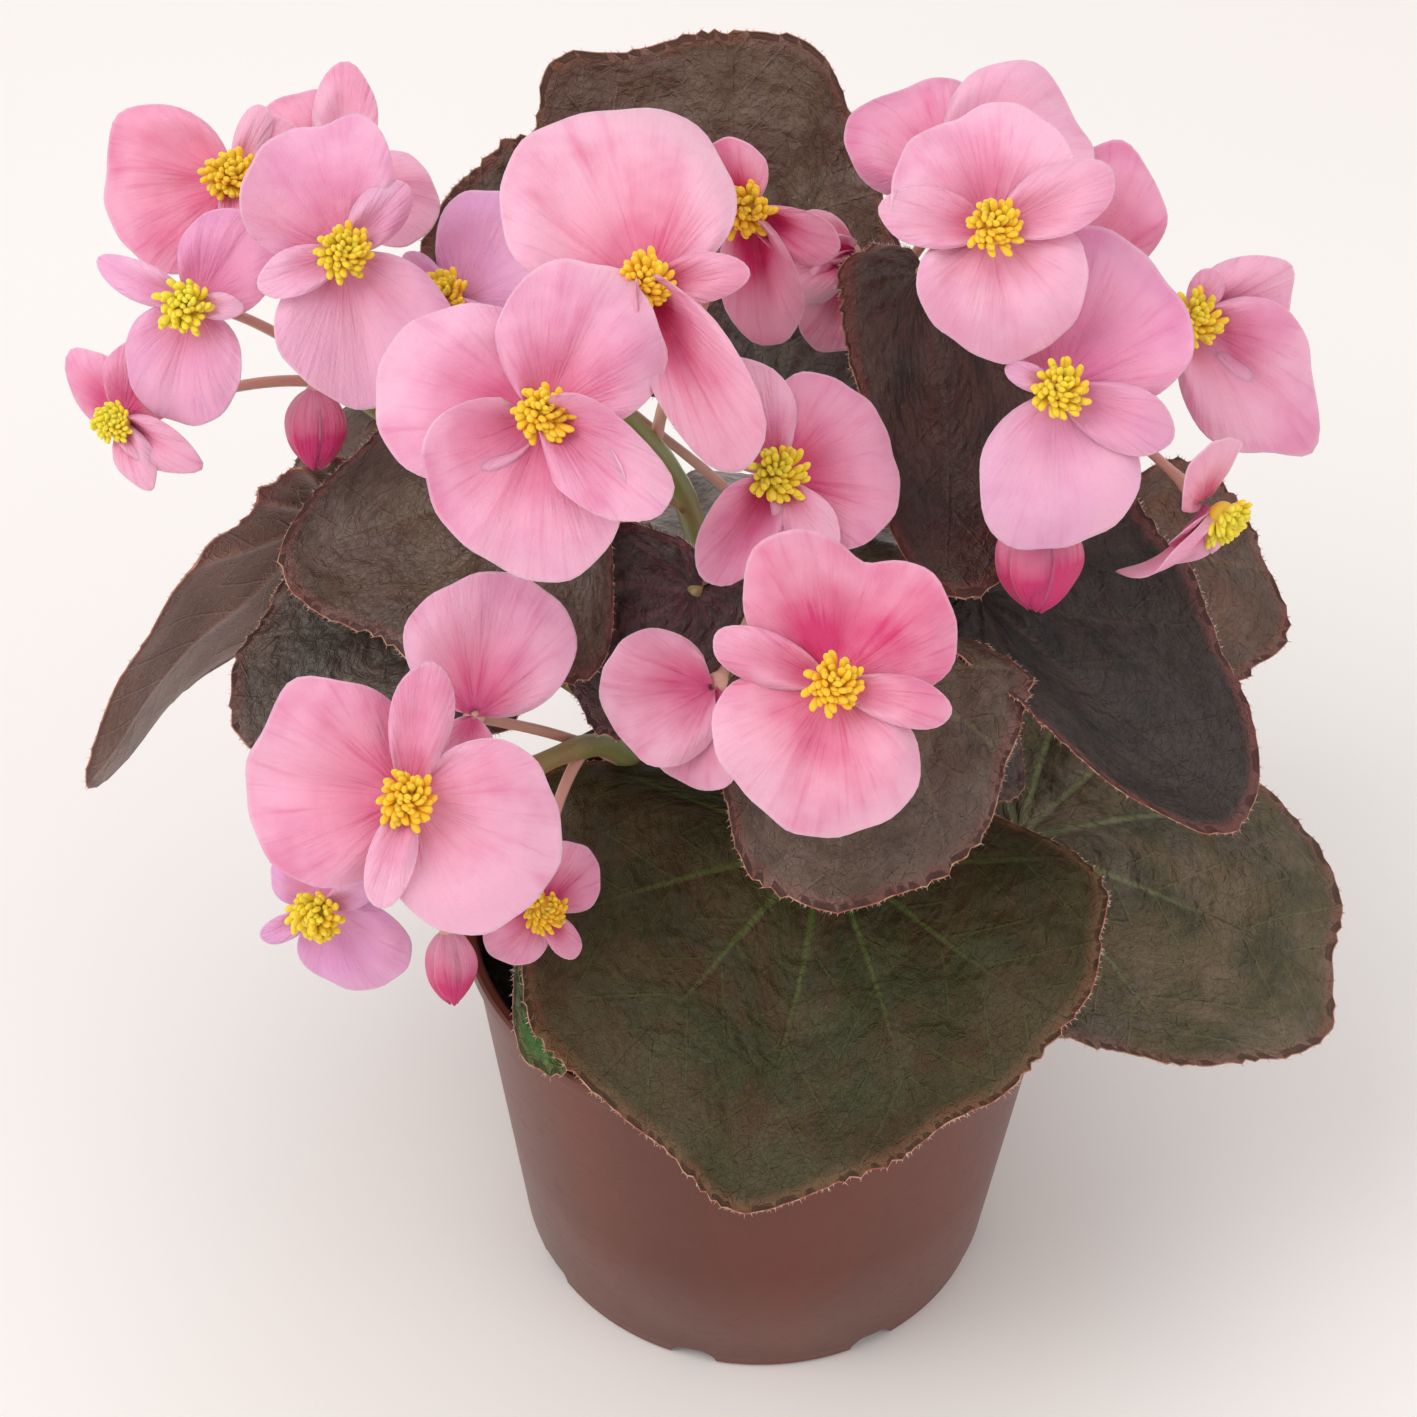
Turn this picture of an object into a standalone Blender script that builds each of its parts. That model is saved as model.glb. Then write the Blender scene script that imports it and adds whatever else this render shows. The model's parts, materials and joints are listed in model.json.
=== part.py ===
"""Potted begonia: a bronze-leaved bedding begonia standing in an 11 cm nursery pot.

Metres, +Z up.  The origin is the middle of the pot's base, on the plane it stands on, and -Y is
the plant's front.  The tables below place the plant in millimetres from the middle of the compost's
surface, so a deeper pot carries the plant with it and a wider pot has a larger plant.  PLANT_SCALE
grows the plant alone.
"""
import math

import bmesh
import bpy
from mathutils import Matrix, Vector

# ---------------------------------------------------------------- driving dimensions (metres)
PLANT_SCALE = 1.0            # size of the plant over the size given in the tables
CLEARANCE = 0.0003           # gap left between pieces that touch
TABLE_RIM_RADIUS = 0.055     # rim of the pot that the tables were drawn for

POT_RIM_RADIUS = 0.055
POT_BASE_RADIUS = 0.0445
POT_HEIGHT = 0.081
POT_WALL = 0.0013
POT_FLOOR = 0.0020
POT_LIP_OUT = 0.0009         # how far the lip stands out from the wall
POT_LIP_HEIGHT = 0.0035
POT_SIDES = 40
NOTCH_COUNT = 8              # drainage notches around the foot of the wall
NOTCH_WIDTH = 0.009
NOTCH_TURN = 30              # degrees from +X to the first notch
NOTCH_HEIGHT = 0.0034
NOTCH_DEPTH = 0.0042         # from the foot's edge inwards

SOIL_DROP = 0.010            # compost's surface below the rim
SOIL_CROWN = 0.003           # how much higher the compost is in the middle
PLANTING_DEPTH = 0.014       # how deep the stems go into the compost

STEM_RADIUS = 0.0030         # main stem at the compost
STEM_TIP_RADIUS = 0.0015     # main stem at its top
PETIOLE_RADIUS = 0.0011
PEDICEL_RADIUS = 0.0008
LEAF_THICKNESS = 0.0010
PETAL_THICKNESS = 0.0008
HUB_RADIUS = 0.0038          # the flower's middle: receptacle and stamen boss

SOIL_SHOULDER = 0.55         # where the compost's crown turns down, as a share of the rim's radius
SOIL_SHOULDER_RISE = 0.6     # and how much of its crown it still has there
STEM_SWELL = 1.08            # the stem's foot over its radius, where it goes into the compost
STALK_FOOT = 1.3             # a stalk where it leaves its stem, over its end
STALK_REACH = 0.4            # how far a stalk keeps its direction at each end, as a share of its span
STALK_LEAN = 0.3             # a stalk's end may lean by this much of its radius
STALK_UNDER_LEAF = 0.8       # how much a leaf stalk arrives from below its blade
STALK_TO_TIP = 0.6           # and how much along it
STALK_NEAR_LEAF = 0.9        # a leaf stalk ends this many of its radii under the blade

TIP_WIDTH = 0.30             # radians over which a leaf's pointed tip fades
SINUS_DEPTH = 0.7            # how deep a leaf is cut in behind its stalk
SINUS_WIDTH = 0.40           # radians over which that cut fades
PETAL_CUP = 0.22             # how much a petal's sides rise
PETAL_ROLL = 0.20            # and how much its tip rolls back
PETAL_START = 0.10           # where a petal begins, as a share of its length
PETAL_FAN = math.radians(78) # half the angle that a broad petal fans out to
PETAL_EDGE = 0.22            # a narrow petal's side length, as a share of its length
PETAL_LAYER = 0.0010         # each petal lies this far in front of the last
HUB_FORWARD = 0.0012         # the stamen boss stands this far in front of the hindmost petal
HUB_BACK = HUB_RADIUS - HUB_FORWARD
BUD_DEPTH = 0.75             # a bud's depth over its width

LEAF_SECTORS = 16            # cells around a leaf
LEAF_RINGS = 3               # cells from its base to its edge
STALK_SIDES_RESOLUTION = 1   # six-sided stalks
STALK_CELLS = 4
HOLE_SIDES = 10              # sides of the holes that the stems stand in
YOUNG_LEAVES = ("leaf_low_green",)

END_CLEARANCE = CLEARANCE + STALK_LEAN * PEDICEL_RADIUS
MM = 0.001
SOIL_LEVEL = POT_HEIGHT - SOIL_DROP
GROWTH = PLANT_SCALE * POT_RIM_RADIUS / TABLE_RIM_RADIUS

# ---------------------------------------------------------------- the shoots
# Each main stem is a list of points in millimetres, from just under the compost's surface up.
SHOOTS = {
    "front_left": [(-13, 0, 4), (-18, 2, 28), (-29, -3, 50), (-47, -26, 62)],
    "back_left": [(-17, 14, 4), (-27, 24, 30), (-52, 42, 64), (-78, 44, 95)],
    "centre_left": [(-5, 10, 4), (-7, 19, 38), (-15, 27, 78), (-27, 16, 110)],
    "centre": [(7, 0, 4), (9, 4, 30), (7, 8, 60), (-1, 7, 85)],
    "right": [(18, 9, 4), (26, 23, 30), (38, 42, 64), (53, 39, 98)],
    "back": [(4, 21, 4), (5, 34, 32), (9, 48, 68), (15, 56, 92)],
}

# ---------------------------------------------------------------- the leaves
# base: where the stalk meets the blade; heading: compass angle of the tip, 0 at the front and
# 90 at the right; pitch: tip above the base; bank: blade rolled about its midrib;
# sizes in millimetres: length to the tip, half widths left and right of it, lobes behind the base;
# point: the share of the length that the pointed tip adds; fullness: 2 is oval, more is squarer.
LEAVES = {
    "leaf_front": dict(base=(9, -18, 41), heading=-13, pitch=-24, bank=0, length=66, left=49,
                       right=53, lobes=14, droop=0.10, cup=0.06, point=0.20, fullness=2.1,
                       shoot="centre", at=0.30),
    "leaf_front_upper": dict(base=(17, -12, 80), heading=-13, pitch=-26, bank=0, length=41, left=24,
                             right=24, lobes=9, droop=0.25, cup=-0.10, point=0.05, fullness=2.4,
                             shoot="centre", at=0.62),
    "leaf_right_upper": dict(base=(34, 2, 82), heading=60, pitch=-23, bank=12, length=57, left=32,
                             right=14, lobes=9, droop=0.10, cup=0.10, point=0.14, fullness=2.3,
                             shoot="right", at=0.60),
    "leaf_right_lower": dict(base=(45, 1, 26), heading=72, pitch=-14, bank=20, length=64, left=32,
                             right=32, lobes=14, droop=0.12, cup=0.05, point=0.05, fullness=2.4,
                             shoot="right", at=0.25),
    "leaf_right_back": dict(base=(66, 47, 54), heading=67, pitch=-30, bank=20, length=33, left=22,
                            right=17, lobes=8, droop=0.10, cup=0.10, point=0.12, fullness=2.2,
                            shoot="right", at=0.45),
    "leaf_right_tall": dict(base=(24, 43, 118), heading=6, pitch=-21, bank=-4, length=58, left=18,
                            right=14, lobes=8, droop=0.15, cup=-0.20, point=0.05, fullness=2.3,
                            shoot="back", at=0.85),
    "leaf_back_tall": dict(base=(-6, 67, 84), heading=-170, pitch=52, bank=0, length=54, left=41,
                           right=30, lobes=8, droop=-0.10, cup=0.10, point=0.0, fullness=3.0,
                           shoot="back", at=0.7),
    "leaf_back_left_tall": dict(base=(-36, 72, 82), heading=-152, pitch=60, bank=-5, length=36,
                                left=28, right=20, lobes=8, droop=0.10, cup=0.10, point=0.05,
                                fullness=2.4, shoot="back_left", at=0.5),
    "leaf_left_upper": dict(base=(-40, 26, 85), heading=-82, pitch=-8, bank=-22, length=46, left=36,
                            right=20, lobes=10, droop=0.12, cup=-0.05, point=0.14, fullness=2.3,
                            shoot="centre_left", at=0.72),
    "leaf_left_lower": dict(base=(-60, 17, 58), heading=-56, pitch=-10, bank=-15, length=38,
                            left=24, right=24, lobes=10, droop=0.10, cup=0.10, point=0.10,
                            fullness=2.2, shoot="back_left", at=0.4),
    "leaf_far_left": dict(base=(-79, 41, 66), heading=-58, pitch=-34, bank=74, length=66, left=17,
                          right=22, lobes=9, droop=0.06, cup=0.30, point=0.16, fullness=2.0,
                          shoot="back_left", at=0.6),
    "leaf_left_small": dict(base=(-60, 65, 73), heading=-70, pitch=-18, bank=0, length=32, left=12,
                            right=12, lobes=6, droop=0.10, cup=0.10, point=0.10, fullness=2.2,
                            shoot="back_left", at=0.7),
    "leaf_centre_dark": dict(base=(-14, 9, 75), heading=-40, pitch=-30, bank=0, length=28, left=14,
                             right=22, lobes=7, droop=0.10, cup=0.10, point=0.10, fullness=2.4,
                             shoot="centre_left", at=0.5),
    "leaf_centre_back": dict(base=(0, 38, 96), heading=-154, pitch=34, bank=0, length=28, left=20,
                             right=20, lobes=8, droop=0.10, cup=0.10, point=0.08, fullness=2.2,
                             shoot="back", at=0.55),
    "leaf_low_green": dict(base=(-33, -20, 25), heading=-12, pitch=-19, bank=0, length=29, left=9,
                           right=9, lobes=5, droop=0.10, cup=0.20, point=0.10, fullness=2.2,
                           shoot="front_left", at=0.2),
    "leaf_right_inner": dict(base=(26, 7, 56), heading=68, pitch=-37, bank=10, length=27, left=13,
                             right=13, lobes=6, droop=0.10, cup=0.10, point=0.10, fullness=2.2,
                             shoot="right", at=0.4),
    "leaf_back_right": dict(base=(34, 68, 44), heading=152, pitch=-8, bank=0, length=55, left=27,
                            right=27, lobes=13, droop=0.15, cup=0.10, point=0.10, fullness=2.2,
                            shoot="right", at=0.35),
    "leaf_back_centre": dict(base=(0, 64, 38), heading=178, pitch=-15, bank=0, length=56, left=24,
                             right=27, lobes=13, droop=0.15, cup=0.10, point=0.10, fullness=2.2,
                             shoot="back", at=0.4),
    "leaf_back_left": dict(base=(-42, 52, 40), heading=-140, pitch=-12, bank=0, length=54, left=27,
                           right=25, lobes=13, droop=0.15, cup=0.10, point=0.10, fullness=2.2,
                           shoot="back_left", at=0.35),
}

# ---------------------------------------------------------------- the flowers
# middle: the flower's middle; heading and tilt: the way the flower looks, tilt 90 being straight up;
# petals, from the hindmost to the foremost: (clock angle seen from the front, length in millimetres,
# narrowness, opening angle), where narrowness is the power of the cosine in the outline, so 0.3 is
# broad and 8 is a strap.
SMALL = 6.0
FLOWERS = {
    "flower_front_left": dict(middle=(-58, -43, 76), heading=0, tilt=40, shoot="front_left", at=1.0,
                              petals=[(172, 25, 0.3, 10), (-28, 25, 0.4, 10), (82, 21, SMALL, 20),
                                      (-105, 17, SMALL, 25)]),
    "flower_front_left_behind": dict(middle=(-49, -25, 77), heading=0, tilt=45, shoot="front_left",
                                     at=0.55, petals=[(80, 24, 0.6, 4), (-105, 12, 1.2, 12)]),
    "flower_front_left_under": dict(middle=(-75, -32, 40), heading=-10, tilt=20, shoot="front_left",
                                    at=0.95, petals=[(-55, 18, 0.8, 5), (125, 12, 0.8, 5),
                                                     (35, 11, SMALL, 20), (215, 11, SMALL, 20)]),
    "flower_front_left_small": dict(middle=(-38, -35, 43), heading=10, tilt=35, shoot="front_left",
                                    at=0.75, petals=[(45, 12, 0.8, 10), (215, 11, 0.8, 10),
                                                     (135, 9, 4.0, 20), (-60, 9, 4.0, 20)]),
    "flower_front": dict(middle=(8, -43, 102), heading=0, tilt=45, shoot="centre", at=1.0,
                         petals=[(75, 24, 0.25, 10), (-105, 22, 0.2, 10), (160, 20, 4.5, 15),
                                 (-12, 18, 5.0, 20)]),
    "flower_front_behind": dict(middle=(-10, -25, 85), heading=-15, tilt=24, shoot="centre", at=0.9,
                                petals=[(-122, 20, 0.5, 0), (-158, 19, 0.4, 8)]),
    "flower_centre_low": dict(middle=(-1, -4, 111), heading=5, tilt=45, shoot="centre", at=1.0,
                              petals=[(15, 20, 0.2, 8), (-125, 20, 2.0, 10), (112, 20, 2.0, 15),
                                      (-62, 15, 3.0, 22)]),
    "flower_centre_left": dict(middle=(-37, -15, 131), heading=0, tilt=45, shoot="centre_left", at=1.0,
                               petals=[(165, 26, 0.6, 5), (-105, 25, 0.4, 10), (62, 23, 0.6, 16),
                                       (-42, 23, 3.0, 22)]),
    "flower_centre_top": dict(middle=(-22, 3, 142), heading=0, tilt=50, shoot="centre_left", at=1.0,
                              petals=[(108, 31, 0.45, 5), (-62, 29, 2.0, 8), (8, 14, 4.0, 25),
                                      (195, 14, 4.0, 25)]),
    "flower_centre_right": dict(middle=(-6, 32, 138), heading=-10, tilt=25, shoot="centre_left",
                                at=0.85, petals=[(-75, 23, 1.5, 0), (-20, 16, 3.0, 5),
                                                 (120, 12, 1.0, 15)]),
    "flower_back_centre": dict(middle=(12, 51, 116), heading=20, tilt=40, shoot="back", at=1.0,
                               petals=[(-115, 17, 1.0, 0), (-172, 17, 2.0, 8), (150, 12, 2.0, 14)]),
    "flower_left_back": dict(middle=(-54, 35, 116), heading=-40, tilt=40, shoot="centre_left", at=0.8,
                             petals=[(80, 20, 0.6, 10), (-100, 16, 0.6, 10), (170, 12, SMALL, 20),
                                     (-10, 12, SMALL, 20)]),
    "flower_right_top": dict(middle=(32, 15, 146), heading=0, tilt=45, shoot="right", at=1.0,
                             petals=[(105, 20, 0.15, 10), (-78, 19, 0.15, 10), (172, 17, 4.0, 18),
                                     (24, 19, 3.5, 20)]),
    "flower_right_top_behind": dict(middle=(27, 38, 140), heading=0, tilt=60, shoot="back", at=1.0,
                                    petals=[(120, 21, 0.5, 3), (25, 25, 0.5, 6)]),
    "flower_right_behind": dict(middle=(50, 35, 124), heading=20, tilt=40, shoot="right", at=0.9,
                                petals=[(56, 21, 1.0, 5), (-120, 10, 1.5, 5)]),
    "flower_right_middle": dict(middle=(43, 3, 124), heading=5, tilt=40, shoot="right", at=1.0,
                                petals=[(62, 27, 0.5, 8), (-88, 25, 0.9, 8), (-25, 20, 4.5, 18),
                                        (155, 9, SMALL, 22)]),
    "flower_right_far": dict(middle=(67, 29, 119), heading=12, tilt=40, shoot="right", at=1.0,
                             petals=[(-8, 19, 0.6, 4), (-48, 25, 1.0, 10), (60, 9, 3.0, 18)]),
    "flower_right_side": dict(middle=(69, 2, 103), heading=45, tilt=-15, shoot="right", at=0.9,
                              petals=[(100, 14, 0.8, 5), (-120, 18, 1.2, 5), (200, 9, 3.0, 15),
                                      (-60, 14, 4.0, 15)]),
    "flower_left_top": dict(middle=(-93, 54, 126), heading=0, tilt=45, shoot="back_left", at=1.0,
                            petals=[(188, 23, 0.5, 5), (20, 15, 0.6, 8), (68, 13, SMALL, 20),
                                    (-85, 11, SMALL, 22)]),
    "flower_left_middle": dict(middle=(-72, 29, 129), heading=10, tilt=40, shoot="back_left", at=1.0,
                               petals=[(108, 22, 0.6, 8), (-82, 24, 0.5, 8), (45, 15, 4.0, 18),
                                       (195, 14, 4.0, 18)]),
    "flower_left_top_behind": dict(middle=(-75, 60, 122), heading=0, tilt=50, shoot="back_left",
                                   at=0.95, petals=[(-15, 16, 0.8, 3), (140, 20, 0.9, 6),
                                                    (92, 18, 3.0, 12)]),
    "flower_left_low": dict(middle=(-97, 28, 119), heading=-15, tilt=35, shoot="back_left", at=1.0,
                            petals=[(62, 17, 0.9, 6), (-95, 19, 0.6, 6), (165, 15, SMALL, 16),
                                    (10, 9, 5.0, 20)]),
    "flower_left_outer": dict(middle=(-110, 23, 99), heading=-20, tilt=28, shoot="back_left", at=0.95,
                              petals=[(150, 13, 1.5, 5), (72, 14, 1.0, 5), (-15, 13, 3.0, 14),
                                      (-50, 11, 3.0, 18)]),
    "flower_back_right": dict(middle=(42, 92, 98), heading=165, tilt=40, shoot="back", at=0.55,
                              petals=[(90, 22, 0.4, 10), (-90, 22, 0.4, 10), (0, 16, SMALL, 20),
                                      (180, 16, SMALL, 20)]),
    "flower_back_left": dict(middle=(-44, 99, 77), heading=-165, tilt=35, shoot="back", at=0.5,
                             petals=[(80, 22, 0.4, 10), (-100, 22, 0.4, 10), (-10, 16, SMALL, 20),
                                     (170, 16, SMALL, 20)]),
}

# middle, long axis heading and tilt, length and width in millimetres
BUDS = {
    "bud_front_left": dict(middle=(-53, -44, 38), heading=10, tilt=-60, length=13, width=9,
                           shoot="front_left", at=0.9),
    "bud_left": dict(middle=(-79, 28, 94), heading=0, tilt=-60, length=14, width=11,
                     shoot="back_left", at=0.95),
    "bud_right": dict(middle=(42, -5, 96), heading=0, tilt=-60, length=17, width=15,
                      shoot="right", at=0.85),
}

COLOURS = {
    "pot": ((0.22, 0.075, 0.055), 0.42),
    "soil": ((0.012, 0.009, 0.007), 0.95),
    "shoots": ((0.33, 0.36, 0.14), 0.45),
    "leaves": ((0.055, 0.035, 0.02), 0.35),
    "young_leaf": ((0.05, 0.12, 0.025), 0.4),
    "flowers": ((0.85, 0.33, 0.52), 0.5),
    "buds": ((0.78, 0.16, 0.36), 0.45),
}


# ---------------------------------------------------------------- small helpers
def in_plant(point_mm):
    """A point of the tables, in metres from the middle of the pot's base."""
    return Vector(point_mm) * MM * GROWTH + Vector((0, 0, SOIL_LEVEL))


def size(length_mm):
    return length_mm * MM * GROWTH


def heading_vector(heading, tilt):
    """The direction at a compass angle from the front, tilted above the horizontal."""
    turn = math.radians(heading)
    rise = math.radians(tilt)
    return Vector((math.sin(turn) * math.cos(rise), -math.cos(turn) * math.cos(rise), math.sin(rise)))


def material_named(name):
    colour, roughness = COLOURS[name]
    material = bpy.data.materials.get(name) or bpy.data.materials.new(name)
    material.use_nodes = True
    shader = material.node_tree.nodes["Principled BSDF"]
    shader.inputs["Base Color"].default_value = (*colour, 1)
    shader.inputs["Roughness"].default_value = roughness
    return material


def collection_named(name):
    group = bpy.data.collections.new(name)
    bpy.context.scene.collection.children.link(group)
    return group


def object_from(name, shape, group, material=None):
    """An object for a finished bmesh, in its collection."""
    mesh = bpy.data.meshes.new(name)
    shape.to_mesh(mesh)
    shape.free()
    thing = bpy.data.objects.new(name, mesh)
    group.objects.link(thing)
    if material:
        mesh.materials.append(material_named(material))
    return thing


def smooth(thing, angle=40):
    thing.data.shade_smooth()
    thing.data.set_sharp_from_angle(angle=math.radians(angle))


def as_tool(thing):
    """Marks a cutter or a guide, which isn't a piece."""
    thing.hide_render = True
    thing.display_type = "WIRE"


def solidify(thing, thickness):
    shell = thing.modifiers.new("Thickness", "SOLIDIFY")
    shell.thickness = thickness
    shell.offset = 0


def boolean(thing, tool, operation):
    step = thing.modifiers.new(operation.title(), "BOOLEAN")
    step.operation = operation
    step.object = tool
    step.solver = "EXACT"
    step.use_self = operation == "UNION"


def turned(name, profile, sides, group, material=None):
    """A closed solid turned about the Z axis from (radius, height) points."""
    outline = bmesh.new()
    corners = [outline.verts.new((radius, 0, height)) for radius, height in profile]
    for start, end in zip(corners, corners[1:]):
        outline.edges.new((start, end))
    thing = object_from(name, outline, group, material)
    spin = thing.modifiers.new("Turn", "SCREW")
    spin.steps = sides
    spin.render_steps = sides
    spin.use_merge_vertices = True
    spin.merge_threshold = 0.00001
    return thing


# ---------------------------------------------------------------- pot and compost
def wall_radius(height):
    """The pot's outer radius at a height."""
    share = height / POT_HEIGHT
    return POT_BASE_RADIUS + (POT_RIM_RADIUS - POT_LIP_OUT - POT_BASE_RADIUS) * share


def make_pot(parts, tools):
    lip_foot = POT_HEIGHT - POT_LIP_HEIGHT
    profile = [
        (0, POT_FLOOR),
        (wall_radius(POT_FLOOR) - POT_WALL, POT_FLOOR),
        (wall_radius(POT_HEIGHT) - POT_WALL, POT_HEIGHT),
        (POT_RIM_RADIUS, POT_HEIGHT),
        (POT_RIM_RADIUS, lip_foot),
        (wall_radius(lip_foot - POT_LIP_OUT), lip_foot - POT_LIP_OUT),
        (POT_BASE_RADIUS, 0),
        (0, 0),
    ]
    pot = turned("pot", profile, POT_SIDES, parts, "pot")
    cutters = bmesh.new()
    reach = POT_BASE_RADIUS + NOTCH_DEPTH
    for number in range(NOTCH_COUNT):
        turn = Matrix.Rotation(math.radians(NOTCH_TURN + 360 * number / NOTCH_COUNT), 4, "Z")
        place = Matrix.Translation((reach, 0, 0))
        shape = Matrix.Diagonal((4 * NOTCH_DEPTH, NOTCH_WIDTH, 2 * NOTCH_HEIGHT, 1))
        bmesh.ops.create_cube(cutters, size=1, matrix=turn @ place @ shape)
    notches = object_from("pot_notches", cutters, tools)
    as_tool(notches)
    boolean(pot, notches, "DIFFERENCE")
    smooth(pot)
    return pot


def make_soil(parts, tools):
    floor = POT_FLOOR + CLEARANCE
    top = SOIL_LEVEL
    edge = top - 0.5 * SOIL_CROWN
    side = POT_WALL + 1.5 * CLEARANCE
    profile = [
        (0, top + SOIL_CROWN),
        (SOIL_SHOULDER * POT_RIM_RADIUS, top + SOIL_SHOULDER_RISE * SOIL_CROWN),
        (wall_radius(edge) - side, edge),
        (wall_radius(floor) - side, floor),
        (0, floor),
    ]
    soil = turned("compost", profile, POT_SIDES, parts, "soil")
    holes = bmesh.new()
    hole_radius = STEM_RADIUS * STEM_SWELL + 2 * CLEARANCE
    for points in SHOOTS.values():
        foot = in_plant(points[0])
        depth = PLANTING_DEPTH + CLEARANCE
        height = 2 * depth
        bmesh.ops.create_cone(
            holes, cap_ends=True, segments=HOLE_SIDES, depth=height,
            radius1=hole_radius, radius2=hole_radius,
            matrix=Matrix.Translation((foot.x, foot.y, SOIL_LEVEL - depth + height / 2)))
    cutter = object_from("stem_holes", holes, tools)
    as_tool(cutter)
    boolean(soil, cutter, "DIFFERENCE")
    smooth(soil)
    return soil


# ---------------------------------------------------------------- stems and stalks
def curve_through(points, cells):
    """Points of a smooth curve through the given ones (Catmull-Rom)."""
    line = [points[0] * 2 - points[1], *points, points[-1] * 2 - points[-2]]
    found = []
    for before, start, end, after in zip(line, line[1:], line[2:], line[3:]):
        for step in range(cells):
            t = step / cells
            found.append(0.5 * (2 * start + (end - before) * t
                                + (2 * before - 5 * start + 4 * end - after) * t ** 2
                                + (3 * start - before - 3 * end + after) * t ** 3))
    return found + [points[-1]]


def bent(start, leaving, end, arriving, cells):
    """Points of a cubic curve that leaves and arrives along the given directions."""
    found = []
    for step in range(cells + 1):
        t = step / cells
        found.append(start * (1 - t) ** 3 + (start + leaving) * 3 * t * (1 - t) ** 2
                     + (end - arriving) * 3 * t * t * (1 - t) + end * t ** 3)
    return found


def add_tube(target, points, start_radius, end_radius):
    """Adds a closed tapering tube along the points to a bmesh."""
    curve = bpy.data.curves.new("stalk", "CURVE")
    curve.dimensions = "3D"
    curve.bevel_depth = 1.0
    curve.bevel_resolution = STALK_SIDES_RESOLUTION
    curve.use_fill_caps = True
    spline = curve.splines.new("POLY")
    spline.points.add(len(points) - 1)
    for number, (corner, point) in enumerate(zip(spline.points, points)):
        share = number / (len(points) - 1)
        corner.co = (*point, 1)
        corner.radius = start_radius + (end_radius - start_radius) * share
    holder = bpy.data.objects.new("stalk", curve)
    bpy.context.scene.collection.objects.link(holder)
    graph = bpy.context.evaluated_depsgraph_get()
    mesh = bpy.data.meshes.new_from_object(holder.evaluated_get(graph))
    tube = bmesh.new()
    tube.from_mesh(mesh)
    bmesh.ops.remove_doubles(tube, verts=tube.verts, dist=0.000001)
    tube.to_mesh(mesh)
    tube.free()
    target.from_mesh(mesh)
    bpy.data.objects.remove(holder)
    bpy.data.curves.remove(curve)
    bpy.data.meshes.remove(mesh)


def main_stem(shoot):
    points = [in_plant(point) for point in SHOOTS[shoot]]
    foot = points[0] - Vector((0, 0, PLANTING_DEPTH))
    return [foot] + curve_through(points, 3)


def stem_point(shoot, share):
    """The point a share of the way up a main stem, and the stem's direction there."""
    line = main_stem(shoot)
    place = share * (len(line) - 1)
    number = min(int(place), len(line) - 2)
    step = line[number + 1] - line[number]
    return line[number] + step * (place - number), step.normalized()


def branch(shoot, share, end, arriving):
    """A stalk's points from its main stem to its end."""
    start, along = stem_point(shoot, share)
    span = (end - start).length
    outwards = (end - start).normalized()
    leaving = (along + outwards).normalized() * span * STALK_REACH
    return bent(start, leaving, end, arriving * span * STALK_REACH, STALK_CELLS)


def stalk_of_leaf(leaf):
    """The petiole arrives from under the blade and stops just short of it."""
    frame = leaf_frame(leaf)
    normal = frame.to_3x3() @ Vector((0, 0, 1))
    tipwards = frame.to_3x3() @ Vector((1, 0, 0))
    arriving = (normal * STALK_UNDER_LEAF + tipwards * STALK_TO_TIP).normalized()
    short = LEAF_THICKNESS / 2 + CLEARANCE + PETIOLE_RADIUS * STALK_NEAR_LEAF
    end = frame.translation - normal * short
    return branch(leaf["shoot"], leaf["at"], end, arriving)


def stalk_of_flower(flower):
    facing = heading_vector(flower["heading"], flower["tilt"])
    short = HUB_BACK * GROWTH + END_CLEARANCE
    end = in_plant(flower["middle"]) - facing * short
    return branch(flower["shoot"], flower["at"], end, facing)


def stalk_of_bud(bud):
    facing = heading_vector(bud["heading"], bud["tilt"])
    end = in_plant(bud["middle"]) - facing * (size(bud["length"]) / 2 + END_CLEARANCE)
    return branch(bud["shoot"], bud["at"], end, facing)


def make_shoot(name, parts, tools):
    trunk = bmesh.new()
    add_tube(trunk, main_stem(name), STEM_RADIUS, STEM_TIP_RADIUS)
    shoot = object_from("shoot_" + name, trunk, parts, "shoots")
    stalks = bmesh.new()
    for leaf in LEAVES.values():
        if leaf["shoot"] == name:
            add_tube(stalks, stalk_of_leaf(leaf), STALK_FOOT * PETIOLE_RADIUS, PETIOLE_RADIUS)
    for flower in FLOWERS.values():
        if flower["shoot"] == name:
            add_tube(stalks, stalk_of_flower(flower), STALK_FOOT * PEDICEL_RADIUS, PEDICEL_RADIUS)
    for bud in BUDS.values():
        if bud["shoot"] == name:
            add_tube(stalks, stalk_of_bud(bud), STALK_FOOT * PEDICEL_RADIUS, PEDICEL_RADIUS)
    side_growth = object_from("stalks_" + name, stalks, tools)
    as_tool(side_growth)
    boolean(shoot, side_growth, "UNION")
    smooth(shoot, 60)
    return shoot


# ---------------------------------------------------------------- leaves
def leaf_frame(leaf):
    """X runs to the tip, Y to the leaf's left and Z out of its upper face."""
    tipwards = heading_vector(leaf["heading"], leaf["pitch"])
    normal = (Vector((0, 0, 1)) - tipwards * tipwards.z).normalized()
    normal = Matrix.Rotation(math.radians(leaf["bank"]), 3, tipwards) @ normal
    left = normal.cross(tipwards)
    frame = Matrix((tipwards, left, normal)).transposed().to_4x4()
    frame.translation = in_plant(leaf["base"])
    return frame


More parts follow.
